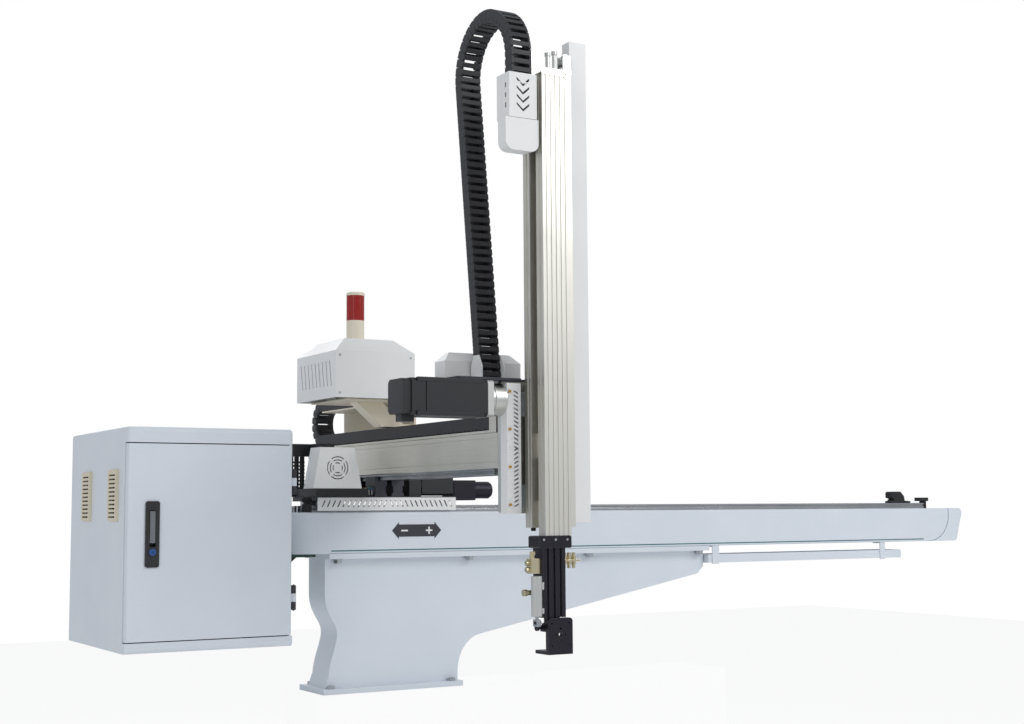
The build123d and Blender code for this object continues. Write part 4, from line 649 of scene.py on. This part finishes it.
@dataclass
class StandingPart:
    """The pedestal, the traverse beam and the cabinet with their small parts. Sizes are in millimetres."""

    bolt_pitch: float = 60.0
    bolt_start: float = 30.0
    rail_half_width: float = 9.5
    sign_left: float = -11.0
    sign_right: float = 139.0
    sign_low: float = 404.0
    sign_high: float = 450.0
    sign_proud: float = 0.5
    sign_sunk: float = 0.3
    arrow_length: float = 0.9
    shaft_height: float = 0.72
    mark_half_length: float = 10.0
    mark_half_width: float = 2.2
    shade_line_rise: float = 6.0
    shade_line_height: float = 3.0
    shade_line_left: float = 4.0
    shade_line_right: float = 120.0
    louvre_screw_inset: float = 6.0
    louvre_screw_sink: float = 1.7

    def dress(self) -> None:
        """Adds the rails' bolts, the direction sign, the painted shade line along the beam's lower edge and
        the louvres' screws.
        """
        self.rail_bolts()
        self.direction_sign()
        self.edge_strip()
        self.louvre_screws()

    def rail_bolts(self) -> None:
        """Caps with a sunk middle over the rails' bolts, at an even pitch along both rails."""
        low, high = corners("traverse_rails")
        x = np.arange(low[0] + self.bolt_start * MM, high[0], self.bolt_pitch * MM)
        half = self.rail_half_width * MM
        rim, hole, proud, deep = 4.4, 3.2, 0.25, 0.6
        cap = turned((0, 0, 0), (0, 0, 1), [
            (rim, -1.0), (rim, proud), (hole, proud), (hole, 0.1 - deep), (0.2, -deep)], 12)
        gather = Gatherer()
        for y in (low[1] + half, high[1] - half):
            places = np.stack([x, np.full_like(x, y), np.full_like(x, high[2])], axis=-1)
            gather.add_each(cap, places)
        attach(gather.build("rail_bolts", ZINC, "zinc_steel"), "base")

    def direction_sign(self) -> None:
        """A generic double arrow with a minus and a plus on the beam's front."""
        front = corners("beam_extrusion")[0][1]
        middle = np.array([self.sign_left + self.sign_right, self.sign_low + self.sign_high]) / 2
        half_w, half_h = (self.sign_right - self.sign_left) / 2, (self.sign_high - self.sign_low) / 2
        neck, shaft = half_w - half_h * self.arrow_length, half_h * self.shaft_height
        outline = np.array([
            (-half_w, 0), (-neck, -half_h), (-neck, -shaft), (neck, -shaft), (neck, -half_h),
            (half_w, 0), (neck, half_h), (neck, shaft), (-neck, shaft), (-neck, half_h)])
        sign = plate_in_xz((outline + middle) * MM, front + self.sign_sunk * MM, front - self.sign_proud * MM)
        sign_piece = Gatherer().add(sign).build("direction_sign", PLATE_BLACK, "black_metal")
        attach(sign_piece, "base")
        face = front - (self.sign_proud - 0.1) * MM
        long, wide = self.mark_half_length * MM, self.mark_half_width * MM
        minus_x, plus_x = (middle[0] + np.array([-half_w, half_w]) / 2) * MM
        z = middle[1] * MM
        marks = Gatherer()
        for x, half_x, half_z, proud in (
                (minus_x, long, wide, 0.5), (plus_x, long, wide, 0.5), (plus_x, wide, long, 0.6)):
            marks.add(block(
                (x - half_x, face - proud * MM, z - half_z), (x + half_x, face + 0.1 * MM, z + half_z), 0.2))
        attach(marks.build("direction_marks", WHITE_COAT, "cover_white"), "base")

    def edge_strip(self) -> None:
        """Painted shade: a thin dark teal line along the beam's lower front edge, where its rounded lower
        corner is in shade.
        """
        low, high = corners("beam_extrusion")
        z = low[2] + self.shade_line_rise * MM
        shade_band = block(
            (low[0] + self.shade_line_left * MM, low[1] - 0.6 * MM, z),
            (high[0] - self.shade_line_right * MM, low[1] + 0.4 * MM, z + self.shade_line_height * MM), 0.2)
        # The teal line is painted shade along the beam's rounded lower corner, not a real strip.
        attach(Gatherer().add(shade_band).build("beam_painted_shade_line", SHADE_LINE_TEAL, "green_paint"), "base")

    def louvre_screws(self) -> None:
        """A screw in each outer corner of the louvre covers on the cabinet's left side."""
        low, high = corners("cabinet_vent_covers")
        inset = self.louvre_screw_inset * MM
        x = low[0] + self.louvre_screw_sink * MM
        places = np.array([
            (x, y, z) for y in (low[1] + inset, high[1] - inset) for z in (low[2] + inset, high[2] - inset)])
        screws = Gatherer().add_each(screw_head((-1, 0, 0), 2.5, 1.2), places)
        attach(screws.build("louvre_screws", ZINC, "zinc_steel"), "base")


@dataclass
class Carriage:
    """The traverse carriage's terminals, plug and valve box. Sizes are in millimetres."""

    terminal_left: float = 140.0
    terminal_inset: float = 6.0
    terminal_pitch: float = 8.5
    terminal_width: float = 7.8
    terminal_depth: float = 18.0
    terminal_height: float = 20.0
    strip_from: float = 3.0
    strip_to: float = 4.5
    tag_from: float = 1.2
    tag_to: float = 6.4
    plug_length: float = 50.0
    plug_y: float = -32.0
    plug_z: float = 538.0
    rib_count: int = 8
    rib_pitch: float = 5.0
    screw_inset: float = 12.0
    screw_rise: float = 110.0

    def dress(self) -> None:
        """Adds the terminals, the plug's ribs and the valve box's screws."""
        self.terminals()
        self.plug_ribs()
        self.cover_screws()

    def terminals(self) -> None:
        """Three terminals with their strips and tags, beside the fan cover's foot."""
        low, high = corners("carriage_plate")
        top, front = high[2], low[1] + self.terminal_inset * MM
        blocks, strips = Gatherer(), Gatherer()
        tags = {"tan": Gatherer(), "green": Gatherer(), "blue": Gatherer()}
        for k, tag in enumerate(tags.values()):
            foot = np.array([low[0] + (self.terminal_left + k * self.terminal_pitch) * MM, front, top])
            blocks.add(block(
                foot + np.array([0, 0, -0.2]) * MM,
                foot + np.array([self.terminal_width, self.terminal_depth, self.terminal_height]) * MM, 0.6))
            strips.add(block(
                foot + np.array([self.strip_from, -0.8, 3.0]) * MM,
                foot + np.array([self.strip_to, 0.5, self.terminal_height - 2.0]) * MM, 0.3))
            tag.add(block(
                foot + np.array([self.tag_from, 3.0, self.terminal_height - 0.5]) * MM,
                foot + np.array([
                    self.tag_to, self.terminal_depth - 3.0, self.terminal_height + 3.5]) * MM, 0.4))
        for gather, name, finish, slot in (
                (blocks, "terminal_blocks", NYLON, "chain_plastic"),
                (strips, "terminal_strips", PALE_SILVER, "zinc_steel"),
                (tags["tan"], "tags_tan", TAN_TAG, "vent_plastic"),
                (tags["green"], "tags_green", GREEN_TAG, "green_paint"),
                (tags["blue"], "tags_blue", BLUE_TAG, "lock_blue")):
            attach(gather.build(name, finish, slot), "carriage")

    def plug_ribs(self) -> None:
        """Grip ribs round the junction box's plug."""
        high = corners("junction_box")[1]
        x = high[0] + (np.arange(self.rib_count) * self.rib_pitch - self.plug_length) * MM
        rib = turned((0, 0, 0), (1, 0, 0), [(13.0, -1.0), (14.2, -0.6), (14.2, 0.6), (13.0, 1.0)], 28)
        places = np.stack([x, np.full_like(x, self.plug_y * MM), np.full_like(x, self.plug_z * MM)], axis=-1)
        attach(Gatherer().add_each(rib, places).build("plug_ribs", NYLON, "chain_plastic"), "carriage")

    def cover_screws(self) -> None:
        """Four screws on the valve box's front face."""
        low, high = corners("valve_box_cover")
        inset = self.screw_inset * MM
        places = np.array([
            (x, low[1], z) for x in (low[0] + inset, high[0] - inset)
            for z in (low[2] + inset, low[2] + self.screw_rise * MM)])
        heads = Gatherer().add_each(screw_head((0, -1, 0), 3.0, 1.8), places)
        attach(heads.build("valve_box_screws", ZINC, "zinc_steel"), "carriage")


@dataclass
class CrosswiseArm:
    """The crosswise beam's chain, the arm's motor and the belt guard. Sizes are in millimetres."""

    chain_high: float = 788.0
    chain_low: float = 686.0
    chain_start: float = 37.0
    chain_bend: float = 298.0
    chain_end: float = -704.5
    motor_y: float = -757.5
    motor_z: float = 736.0
    motor_half: float = 42.5
    bar_width: float = 9.0
    bar_proud: float = 0.8
    bar_left: float = 35.0
    bar_right: float = 12.0
    guard_screw_inset: float = 6.0
    guard_screw_end: float = 20.0
    guard_screws_count: int = 4

    def dress(self) -> None:
        """Adds the chain's links, the arm motor's bars and the guard's screws."""
        self.chain()
        self.motor_bars()
        self.guard_screws()

    def chain(self) -> None:
        """The crosswise cable chain's links, from its upper run over the bend to its lower run, in place of
        the CAD chain.
        """
        low, high = corners("crosswise_chain")
        x = (low[0] + high[0]) / 2
        link = ChainLink(width=(high[0] - low[0]) / MM)
        radius = (self.chain_high - self.chain_low) / 2 * MM
        middle = (self.chain_bend * MM, (self.chain_high + self.chain_low) / 2 * MM)
        path = np.concatenate([
            [(self.chain_start * MM, self.chain_high * MM)],
            arc_points(middle, radius, math.pi / 2, -math.pi / 2),
            [(self.chain_end * MM, self.chain_low * MM)]])
        piece = links_along(link, x, path).build("crosswise_chain_links", NYLON, "chain_plastic")
        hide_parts("crosswise_chain")
        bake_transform(piece)

    def motor_bars(self) -> None:
        """Raised bars along the arm motor's four long edges."""
        low, high = corners("arm_motor")
        x0, x1 = low[0] + self.bar_left * MM, high[0] - self.bar_right * MM
        far = self.motor_half - self.bar_width / 2
        half = (self.bar_width / 2 + self.bar_proud) * MM
        bars = Gatherer()
        for y in (self.motor_y - far, self.motor_y + far):
            for z in (self.motor_z - far, self.motor_z + far):
                bars.add(block((x0, y * MM - half, z * MM - half), (x1, y * MM + half, z * MM + half), 1.2))
        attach(bars.build("arm_motor_bars", BLACK_PAINT, "motor_black"), "cross")

    def guard_screws(self) -> None:
        """Brass screws down the belt guard's left edge."""
        low, high = corners("belt_guard")
        end = self.guard_screw_end * MM
        z = np.linspace(low[2] + end, high[2] - end, self.guard_screws_count)
        x = low[0] + self.guard_screw_inset * MM
        places = np.stack([np.full_like(z, x), np.full_like(z, low[1]), z], axis=-1)
        screws = Gatherer().add_each(screw_head((0, -1, 0), 3.4, 2.4), places)
        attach(screws.build("guard_screws", BRASS, "brass_fittings"), "cross")


@dataclass
class VerticalArm:
    """The vertical stages' tall cable chain and buffers. Sizes are in millimetres, the lean in degrees."""

    bend_radius: float = 123.5
    lean: float = 7.2
    bend_y: float = -704.5
    bend_z: float = 1544.0
    foot_z: float = 792.0
    end_z: float = 1477.5
    buffer_inset: float = 12.0

    def dress(self) -> None:
        """Adds the chain's links and the rubber buffers."""
        self.chain()
        self.buffers()

    def chain(self) -> None:
        """The vertical cable chain, from the arm plate's foot over the top to the box on stage 1.

        The leaning strand stays with the crosswise arm and the box end moves with stage 1. The bend
        The bend runs square to the leaning strand, from its inner face to the inner face of the end.
        """
        low, high = corners("vertical_chain")
        x = (low[0] + high[0]) / 2
        lean = math.radians(self.lean)
        radius = self.bend_radius * MM
        middle = (self.bend_y * MM, self.bend_z * MM)
        arc = arc_points(middle, radius, -lean, math.pi)
        foot_y = arc[0][0] - (arc[0][1] - self.foot_z * MM) * math.tan(lean)
        path = np.concatenate([[(foot_y, self.foot_z * MM)], arc, [(middle[0] - radius, self.end_z * MM)]])
        link = ChainLink(width=(high[0] - low[0]) / MM)
        piece = links_along(link, x, path).build("vertical_chain_links", NYLON, "chain_plastic")
        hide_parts("vertical_chain")
        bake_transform(piece)

    def buffers(self) -> None:
        """Two rubber buffers under the lower end of stage 1."""
        low, high = corners("stage1_profile")
        inset, seated = self.buffer_inset * MM, 0.3 * MM
        forms = Gatherer()
        for x in (low[0] + inset, high[0] - inset):
            forms.add(turned((x, (low[1] + high[1]) / 2, low[2] + seated), (0, 0, -1),
                             [(5.0, 0.0), (6.0, 2.0), (6.0, 6.0), (4.5, 8.0)], 18))
        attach(forms.build("stage_buffers", RUBBER, "rubber_black"), "stage1")


@dataclass
class Wrist:
    """The wrist clamp's screws. Sizes are in millimetres."""

    screw_radius: float = 2.8
    screw_height: float = 2.0
    screw_drop: float = 9.0
    screw_inset: float = 12.0

    def dress(self) -> None:
        """Adds three screws across the clamp's front."""
        low, high = corners("wrist_column")
        inset = self.screw_inset * MM
        z = high[2] - self.screw_drop * MM
        across = (low[0] + inset, (low[0] + high[0]) / 2, high[0] - inset)
        places = np.array([(x, low[1], z) for x in across])
        screws = Gatherer().add_each(screw_head((0, -1, 0), self.screw_radius, self.screw_height), places)
        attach(screws.build("clamp_screws", ZINC, "zinc_steel"), "stage2")


@dataclass(frozen=True)
class Lamp:
    """One large soft lamp: its name, its place and size in metres, and its power in watts."""

    name: str
    place: Point
    watts: float
    size: float


@dataclass
class Studio:
    """The camera, the lamps, the floor and the plinth. Lengths are in metres, angles in degrees."""

    eye: Point = (-1.8236, -3.8395, 0.4769)
    azimuth: float = -30.29
    pitch: float = 5.6
    roll: float = -0.4
    lens: float = 53.57
    sensor: float = 36.0
    aim: Point = (0.4, -0.2, 0.6)
    floor_z: float = -0.80
    floor_reach: float = 12.0
    floor_thickness: float = 0.02
    plinth_margin: float = 0.03
    floor_white: float = 0.88
    world_strength: float = 0.62
    lamps: tuple[Lamp, ...] = (
        Lamp("key", (3.2, -4.6, 3.6), 95.0, 2.6),
        Lamp("fill", (-4.5, -3.0, 2.6), 22.0, 3.0),
        Lamp("back", (1.0, 4.5, 3.4), 60.0, 3.0))

    def build(self) -> None:
        """Makes all of it, with colours shown as they are written."""
        bpy.context.scene.view_settings.view_transform = "Standard"
        self.camera()
        self.world()
        self.light()
        self.ground()

    def camera(self) -> None:
        """A camera from its azimuth, pitch and roll: right, up and backwards are its axes."""
        a, e, r = (math.radians(v) for v in (self.azimuth, self.pitch, self.roll))
        ahead = Vector((-math.sin(a) * math.cos(e), math.cos(a) * math.cos(e), math.sin(e)))
        level = Vector((math.cos(a), math.sin(a), 0.0))
        lift = level.cross(ahead)
        right = level * math.cos(r) + lift * math.sin(r)
        up = lift * math.cos(r) - level * math.sin(r)
        data = bpy.data.cameras.new("camera")
        data.lens = self.lens
        data.sensor_width = self.sensor
        eye = bpy.data.objects.new("camera", data)
        eye.matrix_world = Matrix.Translation(self.eye) @ Matrix((right, up, -ahead)).transposed().to_4x4()
        bpy.context.scene.collection.objects.link(eye)
        bpy.context.scene.camera = eye

    def world(self) -> None:
        """A pale surround: white to the camera, soft light for everything else."""
        world = bpy.data.worlds.new("studio")
        bpy.context.scene.world = world
        world.use_nodes = True
        tree = world.node_tree
        tree.nodes.clear()
        ray = add_node(tree, "ShaderNodeLightPath")
        soft = add_node(tree, "ShaderNodeBackground", inputs={
            "Color": linear("F2F5FA"), "Strength": self.world_strength})
        white = add_node(tree, "ShaderNodeBackground", inputs={"Color": linear("FFFFFF"), "Strength": 1.0})
        mixed = add_node(tree, "ShaderNodeMixShader", inputs={
            0: ray.outputs["Is Camera Ray"], 1: soft.outputs[0], 2: white.outputs[0]})
        add_node(tree, "ShaderNodeOutputWorld", inputs={"Surface": mixed.outputs[0]})

    def light(self) -> None:
        """A key from the right in front, a fill from the left and a lamp from behind, aimed at the robot."""
        for lamp in self.lamps:
            data = bpy.data.lights.new(lamp.name, "AREA")
            data.energy = lamp.watts
            data.size = lamp.size
            item = bpy.data.objects.new(lamp.name, data)
            turn = (Vector(self.aim) - Vector(lamp.place)).to_track_quat("-Z", "Y").to_matrix().to_4x4()
            item.matrix_world = Matrix.Translation(lamp.place) @ turn
            bpy.context.scene.collection.objects.link(item)

    def ground_material(self) -> bpy.types.Material:
        """A pale floor that the camera sees as nearly white, with the object's shadow on it.

        Returns:
            The material.
        """
        material = bpy.data.materials.new("studio_floor")
        material.use_nodes = True
        tree = material.node_tree
        tree.nodes.clear()
        ray = add_node(tree, "ShaderNodeLightPath")
        base = add_node(tree, "ShaderNodeBsdfDiffuse", inputs={"Color": linear("F4F4F3")})
        white = add_node(tree, "ShaderNodeEmission", inputs={"Color": linear("FFFFFF"), "Strength": 1.0})
        share = add_node(tree, "ShaderNodeMath", {"operation": "MULTIPLY"},
                         {0: ray.outputs["Is Camera Ray"], 1: self.floor_white})
        mixed = add_node(tree, "ShaderNodeMixShader", inputs={
            0: share.outputs[0], 1: base.outputs[0], 2: white.outputs[0]})
        add_node(tree, "ShaderNodeOutputMaterial", inputs={"Surface": mixed.outputs[0]})
        return material

    def ground(self) -> None:
        """The floor, and the plinth that the foot stands on, low enough for the arm's full reach."""
        material = self.ground_material()
        low, high = corners("base_pedestal")
        margin, reach = self.plinth_margin, self.floor_reach
        floor = ((-reach, -reach, self.floor_z - self.floor_thickness), (reach, reach, self.floor_z))
        plinth = ((low[0] - margin, low[1] - margin, self.floor_z), (high[0] + margin, high[1] + margin, 0.0))
        for name, (a, b) in (("studio_floor", floor), ("studio_plinth", plinth)):
            mesh = Gatherer().add(block(a, b, 2.0)).mesh(name)
            mesh.materials.append(material)
            piece = bpy.data.objects.new(name, mesh)
            bpy.context.scene.collection.objects.link(piece)


def finish_nodes(frame: dict) -> None:
    """Gives every CAD node the finish of its slot, or its own where the grain runs another way.
    """
    for name, item in frame["nodes"].items():
        slot = item.data.materials[0].name.split(".")[0]
        finish = NODE_FINISH.get(name) or SLOT_FINISH[slot]
        for place in item.material_slots:
            place.material = make_material(finish)
        LOG.info("%s: %s", name, finish.name)


def write_sizes() -> None:
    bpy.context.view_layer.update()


def main() -> None:
    """Loads the frame, builds the studio and dresses each sub-assembly in order."""
    logging.basicConfig(level=logging.INFO, format="%(message)s")
    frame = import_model()
    Studio().build()
    finish_nodes(frame)
    for part in (StandingPart(), Carriage(), CrosswiseArm(), VerticalArm(), Wrist()):
        part.dress()
        LOG.info("%s dressed", type(part).__name__)
    write_sizes()


if __name__ == "__main__":
    main()
